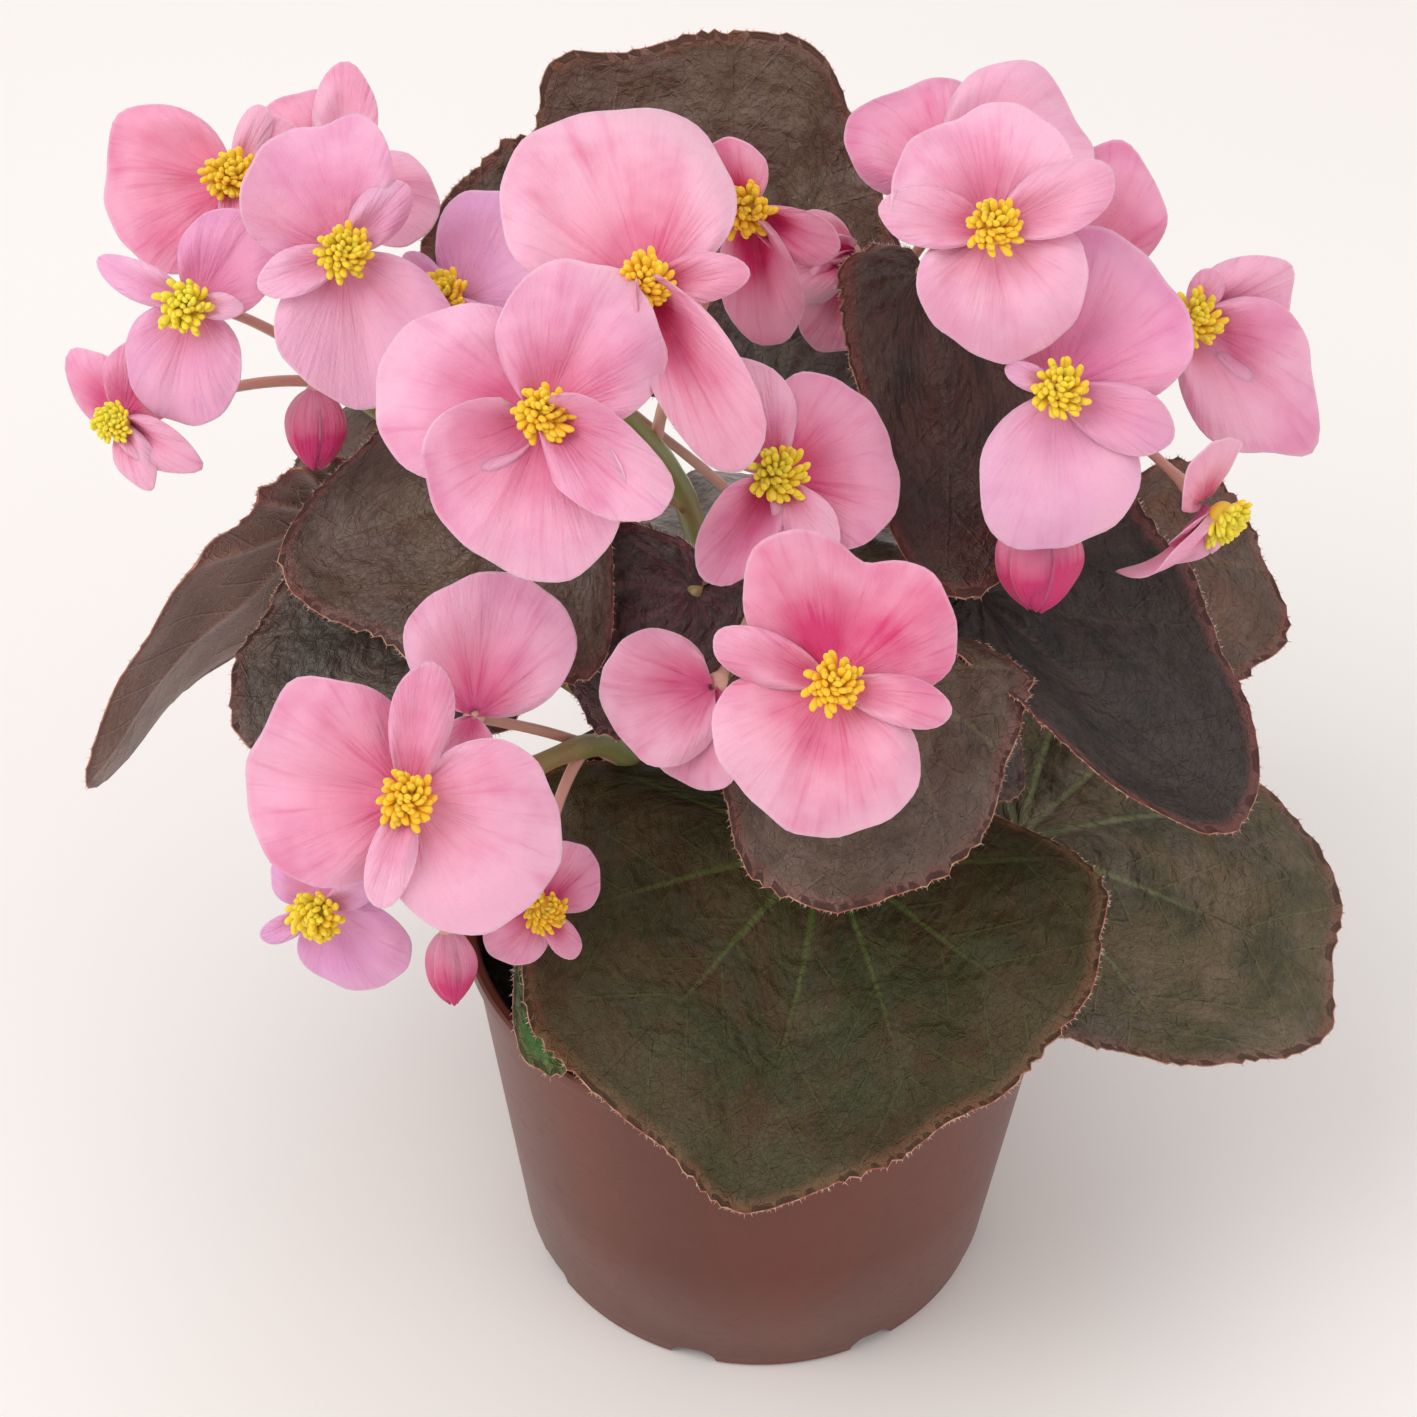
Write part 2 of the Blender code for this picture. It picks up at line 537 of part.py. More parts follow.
def leaf_reach(leaf, angle):
    """Distance from the base to the leaf's edge, at an angle from the tip's direction."""
    side = size(leaf["left"] if angle > 0 else leaf["right"])
    ahead = (1 - leaf["point"]) * size(leaf["length"])
    if abs(angle) > math.pi / 2:
        ahead = size(leaf["lobes"])
    power = leaf["fullness"]
    oval = (abs(math.cos(angle) / ahead) ** power + abs(math.sin(angle) / side) ** power) ** (-1 / power)
    point = leaf["point"] * size(leaf["length"]) * math.exp(-(angle / TIP_WIDTH) ** 2)
    sinus = 1 - SINUS_DEPTH * math.exp(-((math.pi - abs(angle)) / SINUS_WIDTH) ** 2)
    return oval * sinus + point


def leaf_height(leaf, x, y):
    """How far the blade bends out of its plane."""
    length = size(leaf["length"])
    return (leaf["cup"] * y * y - leaf["droop"] * x * abs(x)) / length


def make_leaf(name, parts):
    leaf = LEAVES[name]
    frame = leaf_frame(leaf)
    blade = bmesh.new()
    bmesh.ops.create_grid(blade, x_segments=LEAF_SECTORS, y_segments=LEAF_RINGS, size=0.5)
    for corner in blade.verts:
        angle = math.tau * corner.co.x
        reach = (corner.co.y + 0.5) * leaf_reach(leaf, angle)
        x = reach * math.cos(angle)
        y = reach * math.sin(angle)
        corner.co = frame @ Vector((x, y, leaf_height(leaf, x, y)))
    bmesh.ops.remove_doubles(blade, verts=blade.verts, dist=0.00001)
    bmesh.ops.recalc_face_normals(blade, faces=blade.faces)
    thing = object_from(name, blade, parts, "young_leaf" if name in YOUNG_LEAVES else "leaves")
    solidify(thing, LEAF_THICKNESS)
    smooth(thing, 60)
    return thing


# ---------------------------------------------------------------- flowers
def flower_frame(flower):
    """X is the flower's right, Y its top and Z the way it looks."""
    facing = heading_vector(flower["heading"], flower["tilt"])
    right = Vector((0, 0, 1)).cross(facing).normalized()
    top = facing.cross(right)
    frame = Matrix((right, top, facing)).transposed().to_4x4()
    frame.translation = in_plant(flower["middle"])
    return frame


def add_petal(target, frame, layer, clock, length, narrowness, opening):
    """Adds one open petal surface, a fan of cells from the flower's middle."""
    fan = min(PETAL_FAN, math.acos(PETAL_EDGE ** (1 / narrowness)))
    broad = narrowness < 1
    across_cells = 6 if broad else 4
    along_cells = 2 if broad else 1
    turn = Matrix.Rotation(math.radians(clock), 4, "Z")
    tip_up = Matrix.Rotation(-math.radians(opening), 4, "Y")
    forward = Matrix.Translation((0, 0, layer * PETAL_LAYER * GROWTH))
    petal = bmesh.new()
    bmesh.ops.create_grid(petal, x_segments=across_cells, y_segments=along_cells, size=0.5)
    for corner in petal.verts:
        angle = 2 * corner.co.x * fan
        along = PETAL_START + (corner.co.y + 0.5) * (1 - PETAL_START)
        reach = along * size(length) * math.cos(angle) ** narrowness
        x = reach * math.cos(angle)
        y = reach * math.sin(angle)
        lift = petal_lift(x, y, size(length))
        corner.co = frame @ forward @ turn @ tip_up @ Vector((x, y, lift))
    mesh = bpy.data.meshes.new("petal")
    petal.to_mesh(mesh)
    petal.free()
    target.from_mesh(mesh)
    bpy.data.meshes.remove(mesh)


def petal_lift(x, y, length):
    """The petal's cupped form: its sides rise and its tip rolls back."""
    return (PETAL_CUP * y * y - PETAL_ROLL * x * x) / length


def make_flower(name, parts, tools):
    flower = FLOWERS[name]
    frame = flower_frame(flower)
    hub = bmesh.new()
    bmesh.ops.create_icosphere(
        hub, subdivisions=1, radius=HUB_RADIUS * GROWTH,
        matrix=frame @ Matrix.Translation((0, 0, HUB_FORWARD * GROWTH)))
    thing = object_from(name, hub, parts, "flowers")
    petals = bmesh.new()
    for layer, petal in enumerate(flower["petals"]):
        add_petal(petals, frame, layer, *petal)
    corolla = object_from("petals_of_" + name, petals, tools)
    solidify(corolla, PETAL_THICKNESS)
    as_tool(corolla)
    boolean(thing, corolla, "UNION")
    smooth(thing, 50)
    return thing


def make_bud(name, parts):
    bud = BUDS[name]
    facing = heading_vector(bud["heading"], bud["tilt"])
    frame = facing.to_track_quat("Z", "Y").to_matrix().to_4x4()
    frame.translation = in_plant(bud["middle"])
    half_length = size(bud["length"]) / 2
    half_width = size(bud["width"]) / 2
    shape = bmesh.new()
    bmesh.ops.create_uvsphere(
        shape, u_segments=10, v_segments=6, radius=1,
        matrix=frame @ Matrix.Diagonal((half_width, BUD_DEPTH * half_width, half_length, 1)))
    thing = object_from(name, shape, parts, "buds")
    smooth(thing, 60)
    return thing


def main():
    for thing in list(bpy.data.objects):
        bpy.data.objects.remove(thing)
    parts = collection_named("potted_begonia")
    tools = collection_named("cutters_and_guides")
    make_pot(parts, tools)
    make_soil(parts, tools)
    for name in SHOOTS:
        make_shoot(name, parts, tools)
    for name in LEAVES:
        make_leaf(name, parts)
    for name in FLOWERS:
        make_flower(name, parts, tools)
    for name in BUDS:
        make_bud(name, parts)


main()
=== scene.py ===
"""Potted begonia: the finished plant, pot and stage, built around the packed frame.

Metres, +Z up, in the frame's own axes: the middle of the pot's base is the origin and -Y is the
plant's front.  Every piece stands for the CAD nodes it names and rides on the one body.
"""
import json
import math
import random

import bmesh
import bpy
import numpy as np
from mathutils import Matrix, Vector, noise

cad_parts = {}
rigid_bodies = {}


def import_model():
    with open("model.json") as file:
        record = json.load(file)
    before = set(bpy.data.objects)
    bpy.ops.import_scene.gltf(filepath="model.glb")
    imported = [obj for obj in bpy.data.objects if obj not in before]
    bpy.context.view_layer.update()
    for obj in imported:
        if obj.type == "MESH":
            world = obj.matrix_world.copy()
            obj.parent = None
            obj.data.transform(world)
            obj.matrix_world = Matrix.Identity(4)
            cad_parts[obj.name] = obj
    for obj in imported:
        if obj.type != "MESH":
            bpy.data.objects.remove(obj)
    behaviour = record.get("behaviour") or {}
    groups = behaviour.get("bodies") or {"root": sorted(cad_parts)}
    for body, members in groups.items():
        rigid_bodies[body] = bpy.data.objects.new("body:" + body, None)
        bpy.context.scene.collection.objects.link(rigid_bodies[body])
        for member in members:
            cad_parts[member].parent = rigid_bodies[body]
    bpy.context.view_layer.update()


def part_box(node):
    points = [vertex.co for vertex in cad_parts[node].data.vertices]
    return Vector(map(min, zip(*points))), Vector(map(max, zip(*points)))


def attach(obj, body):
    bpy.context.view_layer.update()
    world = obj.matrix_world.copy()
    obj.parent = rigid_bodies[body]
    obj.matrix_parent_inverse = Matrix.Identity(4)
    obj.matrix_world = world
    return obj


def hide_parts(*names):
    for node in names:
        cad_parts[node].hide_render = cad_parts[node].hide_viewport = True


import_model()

bl_info = {
    "name": "Potted Begonia",
    "version": (1, 0, 0),
    "blender": (4, 5, 0),
    "location": "3D View > Sidebar > Begonia",
    "description": "Builds a bronze-leaved bedding begonia in its nursery pot, piece by piece",
    "category": "Object",
}

BODY = "root"
MM = 0.001
POT_LOW, POT_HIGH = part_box("pot")


def screen_colour(red, green, blue):
    """A colour in screen steps from 0 to 255, as linear light."""
    def linear(step):
        share = step / 255
        return share / 12.92 if share <= 0.04045 else ((share + 0.055) / 1.055) ** 2.4
    return (linear(red), linear(green), linear(blue))


def by_column(columns, rows):
    """Rows of a table, each with its values named by column."""
    return {name: dict(zip(columns, row)) for name, row in rows.items()}


# ---------------------------------------------------------------- where everything grows
# Millimetres from the middle of the compost's surface, as in the CAD model.
# Each main stem is a list of points, from just above the compost up.
SHOOTS = {
    "front_left": [(-13, 0, 4), (-18, 2, 28), (-29, -3, 50), (-47, -26, 62)],
    "back_left": [(-17, 14, 4), (-27, 24, 30), (-52, 42, 64), (-78, 44, 95)],
    "centre_left": [(-5, 10, 4), (-7, 19, 38), (-15, 27, 78), (-27, 16, 110)],
    "centre": [(7, 0, 4), (9, 4, 30), (7, 8, 60), (-1, 7, 85)],
    "right": [(18, 9, 4), (26, 23, 30), (38, 42, 64), (53, 39, 98)],
    "back": [(4, 21, 4), (5, 34, 32), (9, 48, 68), (15, 56, 92)],
}

# base: where the stalk meets the blade; heading: compass angle of the tip, 0 at the front and
# 90 at the right; pitch: tip above the base; bank: blade rolled about its midrib;
# sizes in millimetres: length to the tip, half widths left and right of it, lobes behind the base;
# droop bends the blade down along its length and cup lifts its sides; point: the share of the length
# that the pointed tip adds; fullness: 2 is oval, more is squarer; shoot and at: the main stem that
# carries it and the share of the way up where its stalk leaves, as for flowers and buds.
LEAF_COLUMNS = ("base", "heading", "pitch", "bank", "length", "left", "right", "lobes", "droop",
                "cup", "point", "fullness", "shoot", "at")
LEAVES = by_column(LEAF_COLUMNS, {
    "leaf_front": ((9, -18, 41), -13, -24, 0, 66, 49, 53, 14, 0.1, 0.06, 0.2, 2.1, "centre", 0.3),
    "leaf_front_upper": ((17, -12, 80), -13, -26, 0, 41, 24, 24, 9, 0.25, -0.1, 0.05, 2.4, "centre", 0.62),
    "leaf_right_upper": ((34, 2, 82), 60, -23, 12, 57, 32, 14, 9, 0.1, 0.1, 0.14, 2.3, "right", 0.6),
    "leaf_right_lower": ((45, 1, 26), 72, -14, 20, 64, 32, 32, 14, 0.12, 0.05, 0.05, 2.4, "right", 0.25),
    "leaf_right_back": ((66, 47, 54), 67, -30, 20, 33, 22, 17, 8, 0.1, 0.1, 0.12, 2.2, "right", 0.45),
    "leaf_right_tall": ((24, 43, 118), 6, -21, -4, 58, 18, 14, 8, 0.15, -0.2, 0.05, 2.3, "back", 0.85),
    "leaf_back_tall": ((-6, 67, 84), -170, 52, 0, 54, 41, 30, 8, -0.1, 0.1, 0.0, 3.0, "back", 0.7),
    "leaf_back_left_tall": ((-36, 72, 82), -152, 60, -5, 36, 28, 20, 8, 0.1, 0.1, 0.05, 2.4, "back_left",
                            0.5),
    "leaf_left_upper": ((-40, 26, 85), -82, -8, -22, 46, 36, 20, 10, 0.12, -0.05, 0.14, 2.3,
                        "centre_left", 0.72),
    "leaf_left_lower": ((-60, 17, 58), -56, -10, -15, 38, 24, 24, 10, 0.1, 0.1, 0.1, 2.2, "back_left", 0.4),
    "leaf_far_left": ((-79, 41, 66), -58, -34, 74, 66, 17, 22, 9, 0.06, 0.3, 0.16, 2.0, "back_left", 0.6),
    "leaf_left_small": ((-60, 65, 73), -70, -18, 0, 32, 12, 12, 6, 0.1, 0.1, 0.1, 2.2, "back_left", 0.7),
    "leaf_centre_dark": ((-14, 9, 75), -40, -30, 0, 28, 14, 22, 7, 0.1, 0.1, 0.1, 2.4, "centre_left", 0.5),
    "leaf_centre_back": ((0, 38, 96), -154, 34, 0, 28, 20, 20, 8, 0.1, 0.1, 0.08, 2.2, "back", 0.55),
    "leaf_low_green": ((-33, -20, 25), -12, -19, 0, 29, 9, 9, 5, 0.1, 0.2, 0.1, 2.2, "front_left", 0.2),
    "leaf_right_inner": ((26, 7, 56), 68, -37, 10, 27, 13, 13, 6, 0.1, 0.1, 0.1, 2.2, "right", 0.4),
    "leaf_back_right": ((34, 68, 44), 152, -8, 0, 55, 27, 27, 13, 0.15, 0.1, 0.1, 2.2, "right", 0.35),
    "leaf_back_centre": ((0, 64, 38), 178, -15, 0, 56, 24, 27, 13, 0.15, 0.1, 0.1, 2.2, "back", 0.4),
    "leaf_back_left": ((-42, 52, 40), -140, -12, 0, 54, 27, 25, 13, 0.15, 0.1, 0.1, 2.2, "back_left", 0.35),
})

# middle: the flower's middle; heading and tilt: the way the flower looks, tilt 90 being straight up;
# petals, from the hindmost to the foremost: (clock angle seen from the front, length in millimetres,
# narrowness, opening angle), where narrowness is the power of the cosine in the outline, so 0.3 is
# broad and 8 is a strap.
SMALL = 6.0
FLOWER_COLUMNS = ("middle", "heading", "tilt", "shoot", "at", "petals")
FLOWERS = by_column(FLOWER_COLUMNS, {
    "flower_front_left": ((-58, -43, 76), 0, 40, "front_left", 1.0,
        [(172, 25, 0.3, 10), (-28, 25, 0.4, 10), (82, 21, SMALL, 20), (-105, 17, SMALL, 25)]),
    "flower_front_left_behind": ((-49, -25, 77), 0, 45, "front_left", 0.55,
        [(80, 24, 0.6, 4), (-105, 12, 1.2, 12)]),
    "flower_front_left_under": ((-75, -32, 40), -10, 20, "front_left", 0.95,
        [(-55, 18, 0.8, 5), (125, 12, 0.8, 5), (35, 11, SMALL, 20), (215, 11, SMALL, 20)]),
    "flower_front_left_small": ((-38, -35, 43), 10, 35, "front_left", 0.75,
        [(45, 12, 0.8, 10), (215, 11, 0.8, 10), (135, 9, 4.0, 20), (-60, 9, 4.0, 20)]),
    "flower_front": ((8, -43, 102), 0, 45, "centre", 1.0,
        [(75, 24, 0.25, 10), (-105, 22, 0.2, 10), (160, 20, 4.5, 15), (-12, 18, 5.0, 20)]),
    "flower_front_behind": ((-10, -25, 85), -15, 24, "centre", 0.9,
        [(-122, 20, 0.5, 0), (-158, 19, 0.4, 8)]),
    "flower_centre_low": ((-1, -4, 111), 5, 45, "centre", 1.0,
        [(15, 20, 0.2, 8), (-125, 20, 2.0, 10), (112, 20, 2.0, 15), (-62, 15, 3.0, 22)]),
    "flower_centre_left": ((-37, -15, 131), 0, 45, "centre_left", 1.0,
        [(165, 26, 0.6, 5), (-105, 25, 0.4, 10), (62, 23, 0.6, 16), (-42, 23, 3.0, 22)]),
    "flower_centre_top": ((-22, 3, 142), 0, 50, "centre_left", 1.0,
        [(108, 31, 0.45, 5), (-62, 29, 2.0, 8), (8, 14, 4.0, 25), (195, 14, 4.0, 25)]),
    "flower_centre_right": ((-6, 32, 138), -10, 25, "centre_left", 0.85,
        [(-75, 23, 1.5, 0), (-20, 16, 3.0, 5), (120, 12, 1.0, 15)]),
    "flower_back_centre": ((12, 51, 116), 20, 40, "back", 1.0,
        [(-115, 17, 1.0, 0), (-172, 17, 2.0, 8), (150, 12, 2.0, 14)]),
    "flower_left_back": ((-54, 35, 116), -40, 40, "centre_left", 0.8,
        [(80, 20, 0.6, 10), (-100, 16, 0.6, 10), (170, 12, SMALL, 20), (-10, 12, SMALL, 20)]),
    "flower_right_top": ((32, 15, 146), 0, 45, "right", 1.0,
        [(105, 20, 0.15, 10), (-78, 19, 0.15, 10), (172, 17, 4.0, 18), (24, 19, 3.5, 20)]),
    "flower_right_top_behind": ((27, 38, 140), 0, 60, "back", 1.0,
        [(120, 21, 0.5, 3), (25, 25, 0.5, 6)]),
    "flower_right_behind": ((50, 35, 124), 20, 40, "right", 0.9,
        [(56, 21, 1.0, 5), (-120, 10, 1.5, 5)]),
    "flower_right_middle": ((43, 3, 124), 5, 40, "right", 1.0,
        [(62, 27, 0.5, 8), (-88, 25, 0.9, 8), (-25, 20, 4.5, 18), (155, 9, SMALL, 22)]),
    "flower_right_far": ((67, 29, 119), 12, 40, "right", 1.0,
        [(-8, 19, 0.6, 4), (-48, 25, 1.0, 10), (60, 9, 3.0, 18)]),
    "flower_right_side": ((69, 2, 103), 45, -15, "right", 0.9,
        [(100, 14, 0.8, 5), (-120, 18, 1.2, 5), (200, 9, 3.0, 15), (-60, 14, 4.0, 15)]),
    "flower_left_top": ((-93, 54, 126), 0, 45, "back_left", 1.0,
        [(188, 23, 0.5, 5), (20, 15, 0.6, 8), (68, 13, SMALL, 20), (-85, 11, SMALL, 22)]),
    "flower_left_middle": ((-72, 29, 129), 10, 40, "back_left", 1.0,
        [(108, 22, 0.6, 8), (-82, 24, 0.5, 8), (45, 15, 4.0, 18), (195, 14, 4.0, 18)]),
    "flower_left_top_behind": ((-75, 60, 122), 0, 50, "back_left", 0.95,
        [(-15, 16, 0.8, 3), (140, 20, 0.9, 6), (92, 18, 3.0, 12)]),
    "flower_left_low": ((-97, 28, 119), -15, 35, "back_left", 1.0,
        [(62, 17, 0.9, 6), (-95, 19, 0.6, 6), (165, 15, SMALL, 16), (10, 9, 5.0, 20)]),
    "flower_left_outer": ((-110, 23, 99), -20, 28, "back_left", 0.95,
        [(150, 13, 1.5, 5), (72, 14, 1.0, 5), (-15, 13, 3.0, 14), (-50, 11, 3.0, 18)]),
    "flower_back_right": ((42, 92, 98), 165, 40, "back", 0.55,
        [(90, 22, 0.4, 10), (-90, 22, 0.4, 10), (0, 16, SMALL, 20), (180, 16, SMALL, 20)]),
    "flower_back_left": ((-44, 99, 77), -165, 35, "back", 0.5,
        [(80, 22, 0.4, 10), (-100, 22, 0.4, 10), (-10, 16, SMALL, 20), (170, 16, SMALL, 20)]),
})

# middle; heading and tilt of the long axis; length and width in millimetres
BUD_COLUMNS = ("middle", "heading", "tilt", "length", "width", "shoot", "at")
BUDS = by_column(BUD_COLUMNS, {
    "bud_front_left": ((-53, -44, 38), 10, -60, 13, 9, "front_left", 0.9),
    "bud_left": ((-79, 28, 94), 0, -60, 14, 11, "back_left", 0.95),
    "bud_right": ((42, -5, 96), 0, -60, 17, 15, "right", 0.85),
})

# ---------------------------------------------------------------- how each one looks
# A leaf's upper face, with colours in screen steps: most of it, its patches, veins and rim; dull is how rough
# it is, the pale sheen colour is a reflection painted onto the face, and gloss the weight of its shine. The
# main colours of moss, bronze, umber and slate are lightened to stand for the leaves' sheen, so they are
# partly the leaves' colour and partly painted sheen.
LEAF_FINISHES = {
    "olive": dict(main=(44, 44, 6), patch=(66, 42, 12), vein=(88, 104, 40), rim=(122, 80, 54), dull=0.50,
                  painted_sheen=(80, 78, 44), gloss=0.4),
    "moss": dict(main=(100, 80, 48), patch=(58, 50, 14), vein=(126, 136, 84), rim=(126, 74, 58), dull=0.40),
    "bronze": dict(main=(92, 70, 50), patch=(62, 38, 22), vein=(100, 88, 62), rim=(116, 58, 50), dull=0.34),
    "umber": dict(main=(104, 82, 62), patch=(82, 48, 32), vein=(96, 92, 66), rim=(128, 74, 54), dull=0.44),
    "chestnut": dict(main=(42, 28, 20), patch=(76, 40, 30), vein=(72, 56, 42), rim=(124, 60, 46), dull=0.36,
                     painted_sheen=(92, 74, 64), gloss=0.8),
    "dark": dict(main=(16, 12, 10), patch=(42, 27, 22), vein=(58, 42, 36), rim=(124, 62, 56), dull=0.44,
                 painted_sheen=(78, 66, 62), gloss=0.8),
    "rust": dict(main=(108, 68, 52), patch=(76, 58, 42), vein=(114, 76, 46), rim=(126, 62, 46), dull=0.50),
    "slate": dict(main=(84, 76, 68), patch=(58, 42, 32), vein=(92, 90, 70), rim=(98, 52, 44), dull=0.40),
    "maroon": dict(main=(64, 20, 32), patch=(40, 14, 20), vein=(88, 32, 42), rim=(110, 42, 54), dull=0.44),
    "young": dict(main=(44, 96, 30), patch=(62, 116, 40), vein=(112, 152, 70), rim=(110, 104, 56), dull=0.44),
}
LEAF_LOOKS = {
    "leaf_front": "olive", "leaf_front_upper": "bronze", "leaf_right_upper": "dark",
    "leaf_right_lower": "moss", "leaf_right_back": "rust", "leaf_right_tall": "chestnut",
    "leaf_back_tall": "umber", "leaf_back_left_tall": "rust", "leaf_left_upper": "bronze",
    "leaf_left_lower": "slate", "leaf_far_left": "bronze", "leaf_left_small": "rust",
    "leaf_centre_dark": "maroon", "leaf_centre_back": "slate", "leaf_low_green": "young",
    "leaf_right_inner": "slate", "leaf_back_right": "olive", "leaf_back_centre": "bronze",
    "leaf_back_left": "olive",
}
# (angle from the tip, width, share) of the places where a leaf's margin swells or is cut in
LEAF_CORNERS = {
    "leaf_back_tall": ((0.52, 0.12, 0.06), (-0.60, 0.30, -0.06)),
    "leaf_front": ((0.10, 0.16, -0.03), (-0.75, 0.25, 0.05)),
    "leaf_right_lower": ((0.55, 0.20, 0.06), (-0.25, 0.25, 0.05), (0.12, 0.12, -0.05)),
    "leaf_right_upper": ((-0.62, 0.22, 0.10), (0.50, 0.25, -0.06), (-0.20, 0.14, 0.06)),
    "leaf_left_upper": ((0.30, 0.20, 0.10), (-0.30, 0.20, -0.05)),
    "leaf_left_lower": ((0.40, 0.20, -0.06), (-0.40, 0.20, 0.08)),
    "leaf_front_upper": ((0.70, 0.20, 0.05), (-0.50, 0.25, 0.05)),
    "leaf_right_back": ((0.30, 0.15, 0.08), (0.0, 0.12, -0.08)),
}
# how far a leaf's margin rolls up (+) or down (-) on its left and right, in millimetres
MARGIN_ROLLS = {
    "leaf_right_upper": (0.5, 3.0), "leaf_front": (-1.5, -2.0), "leaf_front_upper": (-4.0, -4.0),
    "leaf_back_tall": (-2.0, 1.0), "leaf_left_upper": (-1.5, -1.0), "leaf_right_tall": (-2.0, -2.5),
    "leaf_right_lower": (-1.5, 1.0), "leaf_far_left": (0.0, 3.0),
}
# share of the cool lavender painted on as shade, depth of the pink, and how golden the stamens are
FLOWER_TONES = {
    "flower_front_left": (0.15, 0.35, 0.9), "flower_front_left_behind": (0.25, 0.65, 0.9),
    "flower_front_left_under": (0.75, 0.25, 0.4), "flower_front_left_small": (0.15, 0.6, 0.8),
    "flower_front": (0.05, 0.5, 1.0), "flower_front_behind": (0.1, 0.5, 1.0),
    "flower_centre_low": (0.2, 0.65, 0.3), "flower_centre_left": (0.2, 0.5, 0.8),
    "flower_centre_top": (0.05, 0.5, 1.0), "flower_centre_right": (0.05, 0.75, 0.9),
    "flower_back_centre": (0.0, 0.8, 0.7), "flower_left_back": (0.7, 0.2, 0.6),
    "flower_right_top": (0.15, 0.35, 0.8), "flower_right_top_behind": (0.2, 0.3, 0.8),
    "flower_right_behind": (0.2, 0.3, 0.5), "flower_right_middle": (0.4, 0.35, 0.5),
    "flower_right_far": (0.2, 0.35, 0.5), "flower_right_side": (0.1, 0.5, 0.2),
    "flower_left_top": (0.1, 0.35, 0.7), "flower_left_middle": (0.3, 0.35, 0.5),
    "flower_left_top_behind": (0.1, 0.4, 0.7), "flower_left_low": (0.5, 0.4, 0.2),
    "flower_left_outer": (0.2, 0.6, 0.1), "flower_back_right": (0.2, 0.4, 0.7),
    "flower_back_left": (0.1, 0.5, 0.6),
}
# flowers built without stamens, because their middles are turned away or covered
WITHOUT_STAMENS = ("flower_front_behind", "flower_front_left_behind", "flower_back_centre")
# Petals that differ from a plain one, by flower and place in its list.  notch cuts the tip in, point
# draws it out, wave ruffles the edge, roll bends the tip back, slim narrows it, crease folds it along
# its middle, hood lifts both flanks, corner (angle, share) pushes out one corner of the outline and
# flap (amount, side, lean) turns a corner over, backwards where the amount is negative.  pale takes the
# deeper pink out of the petal.
PETAL_TRAITS = {
    ("flower_front", 0): dict(notch=0.18, wave=0.05, corner=(0.75, 0.10)),
    ("flower_front", 1): dict(wave=0.02, roll=0.12, slim=1.06, pale=0.35),
    ("flower_front", 2): dict(slim=0.78),
    ("flower_front", 3): dict(slim=0.85),
    ("flower_front_left", 0): dict(wave=0.05, corner=(-0.62, 0.16)),
    ("flower_front_left", 1): dict(pale=0.25, wave=0.015, roll=0.08, hood=0.10),
    ("flower_front_left_behind", 0): dict(wave=0.02),
    ("flower_centre_top", 2): dict(point=0.1, wave=0.06),
    ("flower_centre_top", 0): dict(wave=0.03, roll=0.10, corner=(-0.5, 0.08), flap=(-1.9, -1, 0.5),
                                   hood=0.12),
    ("flower_centre_top", 1): dict(crease=0.35, wave=0.05, corner=(0.40, 0.16), slim=0.62, pale=0.4),
    ("flower_centre_left", 2): dict(wave=0.06, crease=0.08, corner=(0.5, 0.10), flap=(-1.6, -1, 0.4)),
    ("flower_centre_left", 3): dict(wave=0.16, crease=0.2),
    ("flower_centre_left", 0): dict(wave=0.03, roll=0.15, flap=(1.4, 1, 0.3)),
    ("flower_centre_left", 1): dict(wave=0.04, hood=0.22, flap=(1.2, -1, 0.9)),
    ("flower_centre_low", 1): dict(wave=0.12, crease=0.2, slim=0.8),
    ("flower_centre_low", 3): dict(wave=0.08),
    ("flower_centre_right", 0): dict(crease=0.3, wave=0.05, slim=0.7),
    ("flower_centre_right", 1): dict(crease=0.3, slim=0.8),
    ("flower_back_centre", 0): dict(crease=0.25, roll=0.2),
    ("flower_back_centre", 1): dict(crease=0.25, roll=0.2),
    ("flower_right_far", 0): dict(corner=(0.5, 0.14), crease=0.08),
    ("flower_right_far", 1): dict(point=0.18, crease=0.12),
    ("flower_right_behind", 0): dict(point=0.10),
    ("flower_right_side", 1): dict(crease=0.2, wave=0.05),
    ("flower_right_side", 3): dict(point=0.10),
    ("flower_left_middle", 0): dict(corner=(-0.55, 0.16), wave=0.03, hood=0.18, flap=(1.2, 1, 0.5)),
    ("flower_left_low", 1): dict(wave=0.03, roll=0.1),
    ("flower_left_low", 2): dict(point=0.2),
    ("flower_left_outer", 0): dict(point=0.2, wave=0.05),
    ("flower_left_outer", 1): dict(point=0.2),
    ("flower_left_outer", 2): dict(point=0.2, crease=0.2),
    ("flower_left_outer", 3): dict(point=0.15),
    ("flower_left_top", 0): dict(wave=0.03, corner=(-0.6, 0.08), roll=0.1),
    ("flower_left_middle", 1): dict(pale=0.4, wave=0.03, corner=(0.7, 0.08)),
    ("flower_right_middle", 0): dict(wave=0.03, roll=0.12, corner=(0.6, 0.06), flap=(1.3, -1, 0.5)),
    ("flower_right_middle", 1): dict(wave=0.03, corner=(-0.5, 0.08)),
    ("flower_right_top", 0): dict(wave=0.02, roll=0.08, notch=0.07, hood=0.14),
    ("flower_right_top", 1): dict(hood=0.10, roll=0.12, pale=0.4),
    ("flower_right_top_behind", 0): dict(wave=0.04, roll=0.14),
    ("flower_right_top_behind", 1): dict(wave=0.04, roll=0.14, corner=(0.5, 0.1)),
    ("flower_left_top_behind", 2): dict(point=0.1),
}


